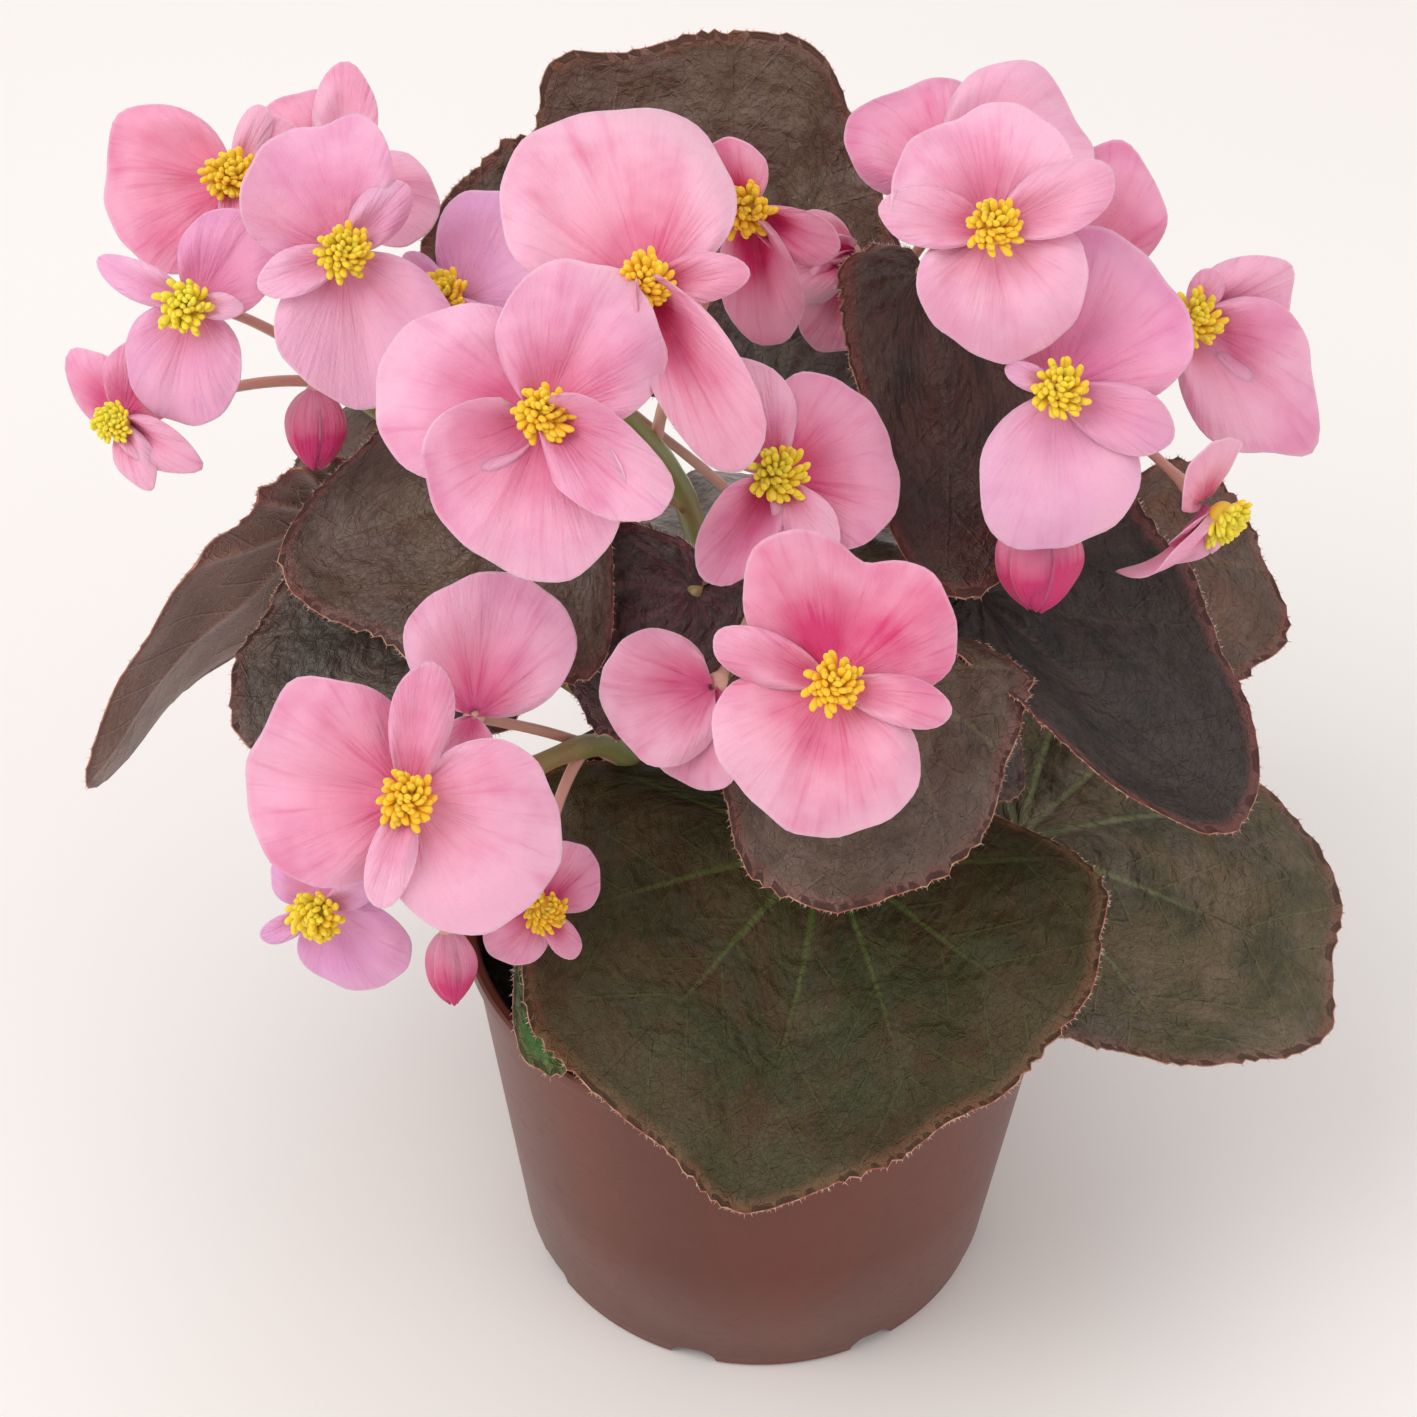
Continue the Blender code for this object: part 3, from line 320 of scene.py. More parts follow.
# ---------------------------------------------------------------- sizes and colours to change
LENGTH = {"unit": "LENGTH", "subtype": "DISTANCE"}
ANGLE = {"unit": "ROTATION", "subtype": "ANGLE"}
COLOUR = {"subtype": "COLOR", "size": 3, "min": 0, "max": 1}


class BegoniaPotSettings(bpy.types.PropertyGroup):
    """The nursery pot and the compost in it."""

    rim_radius: bpy.props.FloatProperty(
        name="Rim radius", description="Outside radius of the pot's lip", default=POT_HIGH.x, min=0.02,
        **LENGTH)
    base_radius: bpy.props.FloatProperty(
        name="Base radius", description="Outside radius of the pot's foot", default=0.0445, min=0.02,
        **LENGTH)
    height: bpy.props.FloatProperty(
        name="Height", description="Height of the pot", default=POT_HIGH.z, min=0.02, **LENGTH)
    wall: bpy.props.FloatProperty(
        name="Wall", description="Thickness of the wall", default=0.0013, min=0.0005, **LENGTH)
    lip: bpy.props.FloatProperty(
        name="Lip", description="How far the lip stands out from the wall", default=0.0009, min=0.0001,
        **LENGTH)
    lip_height: bpy.props.FloatProperty(
        name="Lip height", description="Height of the lip", default=0.0035, min=0.001, **LENGTH)
    notches: bpy.props.IntProperty(
        name="Notches", description="Drainage arches around the foot", default=8, min=0)
    notch_turn: bpy.props.FloatProperty(
        name="First notch", description="Angle from +X to the first arch", default=math.radians(30),
        **ANGLE)
    notch_width: bpy.props.FloatProperty(
        name="Notch width", description="Width of each arch at the floor", default=0.009, min=0.001,
        **LENGTH)
    notch_height: bpy.props.FloatProperty(
        name="Notch height", description="Height of each arch", default=0.0034, min=0.001, **LENGTH)
    notch_depth: bpy.props.FloatProperty(
        name="Notch depth", description="How far each arch runs in under the foot", default=0.0042,
        min=0.001, **LENGTH)
    compost_drop: bpy.props.FloatProperty(
        name="Compost drop", description="Compost's surface below the rim", default=0.010, min=0,
        **LENGTH)
    compost_crown: bpy.props.FloatProperty(
        name="Compost crown", description="How much higher the compost is in the middle", default=0.003,
        min=0, **LENGTH)
    crumbs: bpy.props.IntProperty(
        name="Crumbs", description="Loose crumbs on the compost", default=420, min=0)
    plastic: bpy.props.FloatVectorProperty(
        name="Plastic", description="Colour of the pot", default=screen_colour(98, 36, 17), **COLOUR)
    peat: bpy.props.FloatVectorProperty(
        name="Peat", description="Colour of the compost", default=screen_colour(30, 24, 20), **COLOUR)


class BegoniaPlantSettings(bpy.types.PropertyGroup):
    """Stems and leaves."""

    stem_radius: bpy.props.FloatProperty(
        name="Stem radius", description="Main stem at the compost", default=0.0030, min=0.0005,
        **LENGTH)
    stem_tip_radius: bpy.props.FloatProperty(
        name="Stem tip radius", description="Main stem at its top", default=0.0015, min=0.0003,
        **LENGTH)
    petiole_radius: bpy.props.FloatProperty(
        name="Leaf stalk radius", description="Leaf stalk where it meets the blade", default=0.0011,
        min=0.0003, **LENGTH)
    pedicel_radius: bpy.props.FloatProperty(
        name="Flower stalk radius", description="Flower stalk behind the flower", default=0.0008,
        min=0.0003, **LENGTH)
    blade: bpy.props.FloatProperty(
        name="Blade thickness", description="Thickness of a leaf between its veins", default=0.0006,
        min=0.0002, **LENGTH)
    vein_depth: bpy.props.FloatProperty(
        name="Vein depth", description="How deep the main veins lie in the upper face", default=0.0004,
        min=0, **LENGTH)
    vein_gap: bpy.props.FloatProperty(
        name="Side vein gap", description="Distance between side veins along a main vein",
        default=0.0085, min=0.002, **LENGTH)
    tooth: bpy.props.FloatProperty(
        name="Tooth", description="Height of the teeth along a leaf's margin", default=0.0009, min=0,
        **LENGTH)
    tooth_gap: bpy.props.FloatProperty(
        name="Tooth gap", description="Distance between teeth", default=0.0045, min=0.001, **LENGTH)
    hair: bpy.props.FloatProperty(
        name="Hair length", description="Fine hairs along a leaf's margin", default=0.0011, min=0,
        **LENGTH)
    stem_green: bpy.props.FloatVectorProperty(
        name="Stem green", description="Colour of the stems", default=screen_colour(150, 158, 96),
        **COLOUR)
    stem_flush: bpy.props.FloatVectorProperty(
        name="Stem flush", description="Red flush on stems and stalks",
        default=screen_colour(186, 108, 92), **COLOUR)
    underside: bpy.props.FloatVectorProperty(
        name="Leaf underside", description="Colour of a leaf from below",
        default=screen_colour(134, 102, 90), **COLOUR)


class BegoniaFlowerSettings(bpy.types.PropertyGroup):
    """Petals, stamens and buds."""

    petal: bpy.props.FloatProperty(
        name="Petal thickness", description="Thickness of a petal near its foot", default=0.00045,
        min=0.0002, **LENGTH)
    layer: bpy.props.FloatProperty(
        name="Petal layer", description="How far each petal lies in front of the last", default=0.0010,
        min=0, **LENGTH)
    stamens: bpy.props.IntProperty(
        name="Stamens", description="Stamens in each flower's tuft", default=56, min=1)
    stamen_length: bpy.props.FloatProperty(
        name="Stamen length", description="Length of the outer stamens", default=0.0047, min=0.001,
        **LENGTH)
    light_pink: bpy.props.FloatVectorProperty(
        name="Light pink", description="Most of a petal", default=screen_colour(248, 180, 203),
        **COLOUR)
    deep_pink: bpy.props.FloatVectorProperty(
        name="Deep pink", description="A petal's foot, veins and back",
        default=screen_colour(206, 34, 104), **COLOUR)
    # painted shade: the cool pink that petals in shade are given
    painted_shade_lavender: bpy.props.FloatVectorProperty(
        name="Lavender", description="Cool pink of the shaded petals",
        default=screen_colour(224, 164, 214), **COLOUR)
    pollen: bpy.props.FloatVectorProperty(
        name="Pollen", description="Golden stamens", default=screen_colour(255, 196, 40), **COLOUR)
    fresh_pollen: bpy.props.FloatVectorProperty(
        name="Fresh pollen", description="Greenish yellow stamens", default=screen_colour(238, 222, 60),
        **COLOUR)


class BegoniaStageSettings(bpy.types.PropertyGroup):
    """Floor, light and camera."""

    elevation: bpy.props.FloatProperty(
        name="Elevation", description="Camera's angle above the horizon", default=math.radians(43),
        **ANGLE)
    roll: bpy.props.FloatProperty(
        name="Roll", description="Camera's lean to the right", default=math.radians(1.15), **ANGLE)
    distance: bpy.props.FloatProperty(
        name="Distance", description="Camera to the middle of the plant", default=0.584, min=0.1,
        **LENGTH)
    lens: bpy.props.FloatProperty(
        name="Lens", description="Focal length in millimetres", default=86.4, min=10)
    floor: bpy.props.FloatVectorProperty(
        name="Floor", description="Colour of the floor", default=screen_colour(247, 244, 243), **COLOUR)
    key: bpy.props.FloatProperty(
        name="Key light", description="Power of the large soft light, in watts", default=8.0, min=0)
    fill: bpy.props.FloatProperty(
        name="Fill light", description="Strength of the even light all round", default=0.69, min=0)


SETTINGS = {
    "begonia_pot": BegoniaPotSettings, "begonia_plant": BegoniaPlantSettings,
    "begonia_flower": BegoniaFlowerSettings, "begonia_stage": BegoniaStageSettings,
}


# ---------------------------------------------------------------- finishes
class Finish:
    """A material built socket by socket around one Principled shader."""

    def __init__(self, name, **constants):
        self.material = bpy.data.materials.new(name)
        self.material.use_nodes = True
        self.tree = self.material.node_tree
        self.shader = self.tree.nodes["Principled BSDF"]
        for socket, value in constants.items():
            self.shader.inputs[socket.replace("_", " ")].default_value = value

    def feed(self, socket, value):
        if isinstance(value, bpy.types.NodeSocket):
            self.tree.links.new(value, socket)
        elif isinstance(value, (tuple, list)) and len(value) == 3 and socket.type == "RGBA":
            socket.default_value = (*value, 1)
        else:
            socket.default_value = value

    def node(self, kind, **properties):
        made = self.tree.nodes.new("ShaderNode" + kind)
        for name, value in properties.items():
            setattr(made, name, value)
        return made

    def attribute(self, name):
        """The three numbers that a piece's own mesh holds under this name, and all as a vector."""
        source = self.node("Attribute", attribute_name=name)
        parts = self.node("SeparateXYZ")
        self.feed(parts.inputs[0], source.outputs["Vector"])
        return (*parts.outputs, source.outputs["Vector"])

    def place(self):
        """A surface point in metres, in the frame's axes."""
        return self.node("TexCoord").outputs["Object"]

    def math(self, operation, *values):
        made = self.node("Math", operation=operation)
        for socket, value in zip(made.inputs, values):
            self.feed(socket, value)
        return made.outputs[0]

    def scaled(self, vector, scale):
        made = self.node("VectorMath", operation="MULTIPLY")
        self.feed(made.inputs[0], vector)
        self.feed(made.inputs[1], scale)
        return made.outputs[0]

    def step(self, value, start, end, low=0.0, high=1.0):
        """Low before start and high after end, with a smooth change between."""
        made = self.node("MapRange", interpolation_type="SMOOTHSTEP")
        for socket, number in zip(made.inputs, (value, start, end, low, high)):
            self.feed(socket, number)
        return made.outputs[0]

    def noise(self, vector, scale, detail=3.0, roughness=0.55):
        made = self.node("TexNoise")
        self.feed(made.inputs["Vector"], vector)
        self.feed(made.inputs["Scale"], scale)
        self.feed(made.inputs["Detail"], detail)
        self.feed(made.inputs["Roughness"], roughness)
        return made.outputs["Fac"]

    def cells(self, vector, scale, feature="F1"):
        made = self.node("TexVoronoi", feature=feature)
        self.feed(made.inputs["Vector"], vector)
        self.feed(made.inputs["Scale"], scale)
        return made.outputs["Distance"]

    def mix(self, share, first, second):
        made = self.node("Mix", data_type="RGBA", clamp_factor=True)
        sockets = [socket for socket in made.inputs if socket.type == "RGBA"]
        self.feed(made.inputs[0], share)
        self.feed(sockets[0], first)
        self.feed(sockets[1], second)
        return next(socket for socket in made.outputs if socket.type == "RGBA")

    def raised(self, height, distance, strength=1.0, under=None):
        """A bump of this height, in metres, laid over another."""
        made = self.node("Bump")
        self.feed(made.inputs["Height"], height)
        self.feed(made.inputs["Distance"], distance)
        self.feed(made.inputs["Strength"], strength)
        if under is not None:
            self.feed(made.inputs["Normal"], under)
        return made.outputs["Normal"]

    def done(self, colour, roughness, normal=None):
        self.feed(self.shader.inputs["Base Color"], colour)
        self.feed(self.shader.inputs["Roughness"], roughness)
        if normal is not None:
            self.feed(self.shader.inputs["Normal"], normal)
        return self.material


def fleshy(weight, depth, tint=(1.0, 0.4, 0.3)):
    """Constants that let a little light through a soft surface."""
    return {"Subsurface_Weight": weight, "Subsurface_Radius": tint, "Subsurface_Scale": depth}


# ---------------------------------------------------------------- surfaces
SEAM = 0.000001              # corners nearer than this are joined


class Skin:
    """One piece's corners, faces and finish numbers while it is put together."""

    def __init__(self):
        self.corners = []
        self.faces = []
        self.kinds = []
        self.first = []
        self.second = []

    def add(self, corners, faces, kind=0, first=(0, 0, 0), second=(0, 0, 0)):
        """Adds corners and faces; first and second are finish numbers, one row each or one for all."""
        corners = np.asarray(corners, float).reshape(-1, 3)
        start = sum(len(rows) for rows in self.corners)
        self.corners.append(corners)
        self.first.append(np.broadcast_to(np.asarray(first, float), corners.shape))
        self.second.append(np.broadcast_to(np.asarray(second, float), corners.shape))
        self.faces += [tuple(start + corner for corner in face) for face in faces]
        self.kinds += [kind] * len(faces)

    def add_grid(self, points, closed, kind=0, first=(0, 0, 0), second=(0, 0, 0), turned_over=False):
        """Adds rows of points as quads; closed joins each row's end to its start."""
        rows, columns = points.shape[:2]
        faces = []
        for row in range(rows - 1):
            for column in range(columns if closed else columns - 1):
                after = (column + 1) % columns
                face = (row * columns + column, row * columns + after,
                        (row + 1) * columns + after, (row + 1) * columns + column)
                faces.append(face[::-1] if turned_over else face)
        for_each = [np.asarray(rows_of).reshape(-1, 3) if np.ndim(rows_of) == 3 else rows_of
                    for rows_of in (first, second)]
        self.add(points, faces, kind, *for_each)

    def mesh(self, name, *layer_names):
        """The finished mesh, with its finish numbers under the given names."""
        made = bpy.data.meshes.new(name)
        made.from_pydata(np.concatenate(self.corners).tolist(), [], self.faces)
        made.polygons.foreach_set("material_index", self.kinds)
        for layer_name, rows in zip(layer_names, (self.first, self.second)):
            layer = made.attributes.new(layer_name, "FLOAT_VECTOR", "POINT")
            layer.data.foreach_set("vector", np.concatenate(rows).astype(np.float32).ravel())
        made.shade_smooth()
        made.update()
        return made


def show(name, mesh, materials):
    """An object for a finished mesh, in the plant's collection."""
    group = bpy.data.collections.get("potted_begonia") or bpy.data.collections.new("potted_begonia")
    if group.name not in bpy.context.scene.collection.children:
        bpy.context.scene.collection.children.link(group)
    for material in materials:
        mesh.materials.append(material)
    piece = bpy.data.objects.new(name, mesh)
    group.objects.link(piece)
    return piece


def rim_strips(front, back, numbers):
    """Strips that close the four edges between a grid's front and back, with their finish numbers."""
    for edge in (np.s_[-1], np.s_[0, ::-1], np.s_[:, 0], np.s_[::-1, -1]):
        yield np.stack((front[edge], back[edge])), np.stack((numbers[edge], numbers[edge]))


def tidy_seams(mesh, distance=SEAM):
    """Joins corners that lie on each other and turns all faces outwards."""
    shape = bmesh.new()
    shape.from_mesh(mesh)
    bmesh.ops.remove_doubles(shape, verts=shape.verts, dist=distance)
    bmesh.ops.recalc_face_normals(shape, faces=shape.faces)
    shape.to_mesh(mesh)
    shape.free()


def eased(value, start, end):
    """0 before start and 1 after end, with a smooth change between."""
    share = np.clip((np.asarray(value, float) - start) / (end - start), 0, 1)
    return share * share * (3 - 2 * share)


def moved(matrix, points):
    """Points of any grid shape, placed by a 4 x 4 matrix."""
    turn = np.array(matrix.to_3x3())
    return np.asarray(points, float) @ turn.T + np.array(matrix.translation)


def waves(rng, count, longest, shortest):
    """Terms of a smooth random surface: wave numbers in x and y, phase and size."""
    made = []
    for _ in range(count):
        length = rng.uniform(shortest, longest)
        angle = rng.uniform(0, math.tau)
        made.append((math.tau / length * math.cos(angle), math.tau / length * math.sin(angle),
                     rng.uniform(0, math.tau), length / longest / math.sqrt(count)))
    return made


def rolling(terms, x, y):
    """Height of the smooth random surface that these terms give."""
    return sum(part * np.sin(kx * x + ky * y + phase) for kx, ky, phase, part in terms)


# ---------------------------------------------------------------- the plant's frame
def in_plant(point_mm):
    """A point of the tables, in metres from the middle of the pot's base."""
    pot = bpy.context.scene.begonia_pot
    return Vector(point_mm) * MM + Vector((0, 0, pot.height - pot.compost_drop))


def heading_vector(heading, tilt):
    """The direction at a compass angle from the front, tilted above the horizontal."""
    turn = math.radians(heading)
    rise = math.radians(tilt)
    return Vector((math.sin(turn) * math.cos(rise), -math.cos(turn) * math.cos(rise), math.sin(rise)))


def wall_radius(height):
    """The pot's outer radius at a height."""
    pot = bpy.context.scene.begonia_pot
    return pot.base_radius + (pot.rim_radius - pot.lip - pot.base_radius) * height / pot.height


# ---------------------------------------------------------------- pot
POT_COLUMNS = 240
LIP_BEVEL = 0.0005
FOOT_BAND = 0.0032


def pot_finish(pot):
    """Satin brown plastic with faint flow marks, scuffs and dust near the foot."""
    finish = Finish("satin_plastic", Coat_Weight=0.10, Coat_Roughness=0.24, Specular_IOR_Level=0.34)
    place = finish.place()
    height = finish.node("SeparateXYZ")
    finish.feed(height.inputs[0], place)
    flow = finish.noise(finish.scaled(place, (40, 40, 9)), 1.0, 4, 0.6)
    mottle = finish.noise(place, 190, 3)
    dust = finish.math("MULTIPLY", finish.step(height.outputs[2], 0.030, 0.0, 0, 0.35),
                       finish.noise(place, 60, 5, 0.7))
    deep = tuple(0.72 * part for part in pot.plastic)
    light = tuple(min(1.0, 1.25 * part + 0.01) for part in pot.plastic)
    colour = finish.mix(finish.step(flow, 0.3, 0.7), deep, tuple(pot.plastic))
    colour = finish.mix(finish.math("MULTIPLY", mottle, 0.3), colour, light)
    colour = finish.mix(dust, colour, screen_colour(150, 118, 104))
    scuffs = finish.cells(finish.scaled(place, (160, 160, 700)), 1.0, "DISTANCE_TO_EDGE")
    roughness = finish.math("ADD", finish.math("MULTIPLY", flow, 0.16),
                            finish.step(scuffs, 0.05, 0.0, 0.30, 0.36))
    normal = finish.raised(mottle, 0.00008, 0.5)
    normal = finish.raised(flow, 0.0003, 0.35, normal)
    return finish.done(colour, roughness, normal)


def make_pot():
    pot = bpy.context.scene.begonia_pot
    top, foot = pot.height, pot.base_radius
    lip_foot = top - pot.lip_height
    inner_top = wall_radius(top) - pot.wall
    profile = [
        (0.0, 0.0020), (0.6 * foot, 0.0020), (wall_radius(0.002) - pot.wall - 0.001, 0.0020),
        (wall_radius(0.003) - pot.wall, 0.0030), (wall_radius(0.5 * top) - pot.wall, 0.5 * top),
        (inner_top, top - LIP_BEVEL), (inner_top + LIP_BEVEL, top),
        (pot.rim_radius - LIP_BEVEL, top), (pot.rim_radius, top - LIP_BEVEL),
        (pot.rim_radius, lip_foot + LIP_BEVEL),
        (pot.rim_radius - 0.4 * LIP_BEVEL, lip_foot), (wall_radius(lip_foot - 0.0012), lip_foot - 0.0012),
        (wall_radius(0.7 * top), 0.7 * top), (wall_radius(0.4 * top), 0.4 * top),
        (wall_radius(FOOT_BAND + 0.0008), FOOT_BAND + 0.0008),
        (wall_radius(FOOT_BAND) - 0.0005, FOOT_BAND), (foot - 0.0004, LIP_BEVEL),
        (foot - 0.0004 - LIP_BEVEL, 0.0), (foot - 0.004, 0.0), (foot - 0.006, 0.0008), (0.0, 0.0008),
    ]
    outline = bmesh.new()
    corners = [outline.verts.new((radius, 0, height)) for radius, height in profile]
    ring = [outline.edges.new(pair) for pair in zip(corners, corners[1:])]
    bmesh.ops.spin(outline, geom=corners + ring, cent=(0, 0, 0), axis=(0, 0, 1),
                   angle=math.tau, steps=POT_COLUMNS, use_merge=True)
    bmesh.ops.remove_doubles(outline, verts=outline.verts, dist=0.000005)
    bmesh.ops.recalc_face_normals(outline, faces=outline.faces)
    mesh = bpy.data.meshes.new("pot")
    outline.to_mesh(mesh)
    outline.free()
    piece = show("nursery_pot", mesh, [pot_finish(pot)])
    cutters = bmesh.new()
    reach = foot + 0.2 * pot.notch_depth
    for number in range(pot.notches):
        turn = Matrix.Rotation(pot.notch_turn + math.tau * number / pot.notches, 4, "Z")
        place = Matrix.Translation((reach, 0, 0)) @ Matrix.Rotation(math.pi / 2, 4, "Y")
        arch = Matrix.Diagonal((pot.notch_height, pot.notch_width / 2, 2.4 * pot.notch_depth, 1))
        bmesh.ops.create_cone(cutters, cap_ends=True, segments=28, radius1=1, radius2=1, depth=1,
                              matrix=turn @ place @ arch)
    arches = bpy.data.meshes.new("arches")
    cutters.to_mesh(arches)
    cutters.free()
    cutter = bpy.data.objects.new("arches", arches)
    bpy.context.scene.collection.objects.link(cutter)
    cut = piece.modifiers.new("Drainage arches", "BOOLEAN")
    cut.operation, cut.object, cut.solver = "DIFFERENCE", cutter, "EXACT"
    graph = bpy.context.evaluated_depsgraph_get()
    shaped = bpy.data.meshes.new_from_object(piece.evaluated_get(graph))
    piece.modifiers.clear()
    piece.data = shaped
    bpy.data.objects.remove(cutter)
    shaped.shade_smooth()
    shaped.set_sharp_from_angle(angle=math.radians(38))
    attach(piece, BODY)
    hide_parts("pot")
    return piece


# ---------------------------------------------------------------- compost
COMPOST_DEPTH = 0.006        # how far down its side is built, out of sight in the pot
MIDDLE_HOLE = 0.0004         # its innermost ring, as a share of its radius
CRUMB_SEAM = 0.0000001


def compost_finish(pot):
    """Dark moist peat with paler fibres and crumbs."""
    finish = Finish("moist_peat", Specular_IOR_Level=0.25)
    place = finish.place()
    clods = finish.noise(place, 260, 6, 0.7)
    grains = finish.cells(place, 900)
    fibres = finish.noise(finish.scaled(place, (900, 240, 900)), 1.0, 2)
    pale = tuple(min(1.0, 3.2 * part + 0.01) for part in pot.peat)
    black = tuple(0.35 * part for part in pot.peat)
    colour = finish.mix(finish.step(clods, 0.35, 0.7), black, tuple(pot.peat))
    colour = finish.mix(finish.step(fibres, 0.62, 0.74, 0, 0.7), colour, pale)
    roughness = finish.step(clods, 0.2, 0.8, 0.95, 0.7)
    normal = finish.raised(clods, 0.0016, 0.9)
    normal = finish.raised(grains, 0.0005, 0.7, normal)
    return finish.done(colour, roughness, normal)


def make_compost():
    pot = bpy.context.scene.begonia_pot
    rng = random.Random(11)
    level = pot.height - pot.compost_drop
    edge = wall_radius(level - 0.5 * pot.compost_crown) - pot.wall - 0.0003
    skin = Skin()
    rings, columns = 46, 150
    points = np.zeros((rings + 2, columns, 3))

    def surface(x, y):
        share = math.hypot(x, y) / edge
        crown = pot.compost_crown * (1 - 1.5 * share * share)
        rough = noise.fractal(Vector((x, y, 0)) * 160, 0.8, 2.1, 4)
        return level + crown + 0.0011 * rough * (1 - 0.6 * share ** 8)

    for ring in range(rings):
        radius = edge * max(MIDDLE_HOLE, ring / (rings - 1))
        for column in range(columns):
            angle = math.tau * column / columns
            x, y = radius * math.cos(angle), radius * math.sin(angle)
            points[ring, column] = x, y, surface(x, y)
    points[rings] = points[rings - 1] * (0.995, 0.995, 1) - (0, 0, COMPOST_DEPTH)
    points[rings + 1] = points[rings - 1] * (0.001, 0.001, 1) - (0, 0, COMPOST_DEPTH)
    skin.add_grid(points, True)
    for _ in range(pot.crumbs):
        radius = edge * 0.97 * math.sqrt(rng.random())
        angle = rng.uniform(0, math.tau)
        x, y = radius * math.cos(angle), radius * math.sin(angle)
        crumb = bmesh.new()
        bmesh.ops.create_icosphere(crumb, subdivisions=2, radius=1)
        half = rng.uniform(0.0005, 0.0013) * (1.6 if rng.random() < 0.08 else 1)
        shift = rng.uniform(0, 100)
        form = Matrix.Diagonal((1, rng.uniform(0.6, 1), rng.uniform(0.5, 0.9)))
        for corner in crumb.verts:
            lump = 1 + 0.45 * noise.noise(corner.co * 1.4 + Vector((shift, 0, 0)))
            corner.co = form @ (corner.co * lump * half)
        turn = Matrix.Rotation(rng.uniform(0, math.tau), 3, "Z")
        middle = Vector((x, y, surface(x, y) + 0.3 * half))
        corners = [middle + turn @ corner.co for corner in crumb.verts]
        skin.add(corners, [[v.index for v in face.verts] for face in crumb.faces])
        crumb.free()
    mesh = skin.mesh("compost")
    tidy_seams(mesh, CRUMB_SEAM)
    piece = show("compost_surface", mesh, [compost_finish(pot)])
    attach(piece, BODY)
    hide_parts("compost")
    return piece


# ---------------------------------------------------------------- stems and stalks
STEM_SIDES = 16
STEM_CELLS = 3               # as in the CAD model, so that stalks leave the stem at its places
STEM_FOOT = 0.008            # a main stem's foot below its first point
CAD_STEM_FOOT = 0.014        # the same in the CAD model
LEAF_STALK, FLOWER_STALK = 0.5, 1.0


def curve_through(points, cells):
    """Points of a smooth curve through the given ones (Catmull-Rom)."""
    line = [points[0] * 2 - points[1], *points, points[-1] * 2 - points[-2]]
    found = []
    for before, start, end, after in zip(line, line[1:], line[2:], line[3:]):
        for step in range(cells):
            t = step / cells
            found.append(0.5 * (2 * start + (end - before) * t
                                + (2 * before - 5 * start + 4 * end - after) * t ** 2
                                + (3 * start - before - 3 * end + after) * t ** 3))
    return found + [points[-1]]


def bent(start, leaving, end, arriving, cells=20):
    """Points of a cubic curve that leaves and arrives along the given directions."""
    return [start * (1 - t) ** 3 + (start + leaving) * 3 * t * (1 - t) ** 2
            + (end - arriving) * 3 * t * t * (1 - t) + end * t ** 3
            for t in (step / cells for step in range(cells + 1))]


def main_stem(shoot, cells):
    """A main stem's points, from its foot in the compost to its top."""
    points = [in_plant(point) for point in SHOOTS[shoot]]
    foot = points[0] - Vector((0, 0, STEM_FOOT))
    return [foot] + curve_through(points, cells)


def stem_point(shoot, share):
    """The point a share of the way up a main stem, and the stem's direction there."""
    line = main_stem(shoot, STEM_CELLS)
    line[0] = in_plant(SHOOTS[shoot][0]) - Vector((0, 0, CAD_STEM_FOOT))
    place = share * (len(line) - 1)
    number = min(int(place), len(line) - 2)
    step = line[number + 1] - line[number]
    return line[number] + step * (place - number), step.normalized()


def branch(shoot, share, end, arriving, reach=0.4):
    """A stalk's points from its main stem to its end."""
    start, along = stem_point(shoot, share)
    span = (end - start).length
    outwards = (end - start).normalized()
    leaving = (along + outwards).normalized() * span * reach
    return bent(start, leaving, end, arriving * span * reach)


def add_tube(skin, points, radii, kind_number, ridges=0.04, seed=0.0):
    """Adds a closed tube along the points, lightly ribbed; finish numbers are around, along, kind."""
    line = np.array([tuple(point) for point in points])
    along = np.gradient(line, axis=0)
    along /= np.linalg.norm(along, axis=1, keepdims=True)
    side = np.cross(along[0], (0.31, 0.86, 0.40))
    rows = np.zeros((len(line), STEM_SIDES, 3))
    numbers = np.zeros((len(line), STEM_SIDES, 3))
    angles = np.arange(STEM_SIDES) * math.tau / STEM_SIDES
    run = 0.0
    for number, (point, ahead, radius) in enumerate(zip(line, along, radii)):
        side = side - ahead * side.dot(ahead)
        side /= np.linalg.norm(side)
        up = np.cross(ahead, side)
        if number:
            run += np.linalg.norm(point - line[number - 1])
        wide = radius * (1 + ridges * np.cos(3 * angles + seed) + 0.5 * ridges * np.sin(170 * run + seed))
        rows[number] = point + wide[:, None] * (np.cos(angles)[:, None] * side
                                                + np.sin(angles)[:, None] * up)
        numbers[number] = np.stack((angles, np.full(STEM_SIDES, run),
                                    np.full(STEM_SIDES, kind_number)), -1)
    skin.add_grid(rows, True, 0, numbers)
    for row, end in ((rows[0], line[0]), (rows[-1], line[-1] + 0.3 * radii[-1] * along[-1])):
        fan = [(STEM_SIDES, (n + 1) % STEM_SIDES, n) for n in range(STEM_SIDES)]
        skin.add(np.vstack((row, end)), fan, 0, (0, run, kind_number))


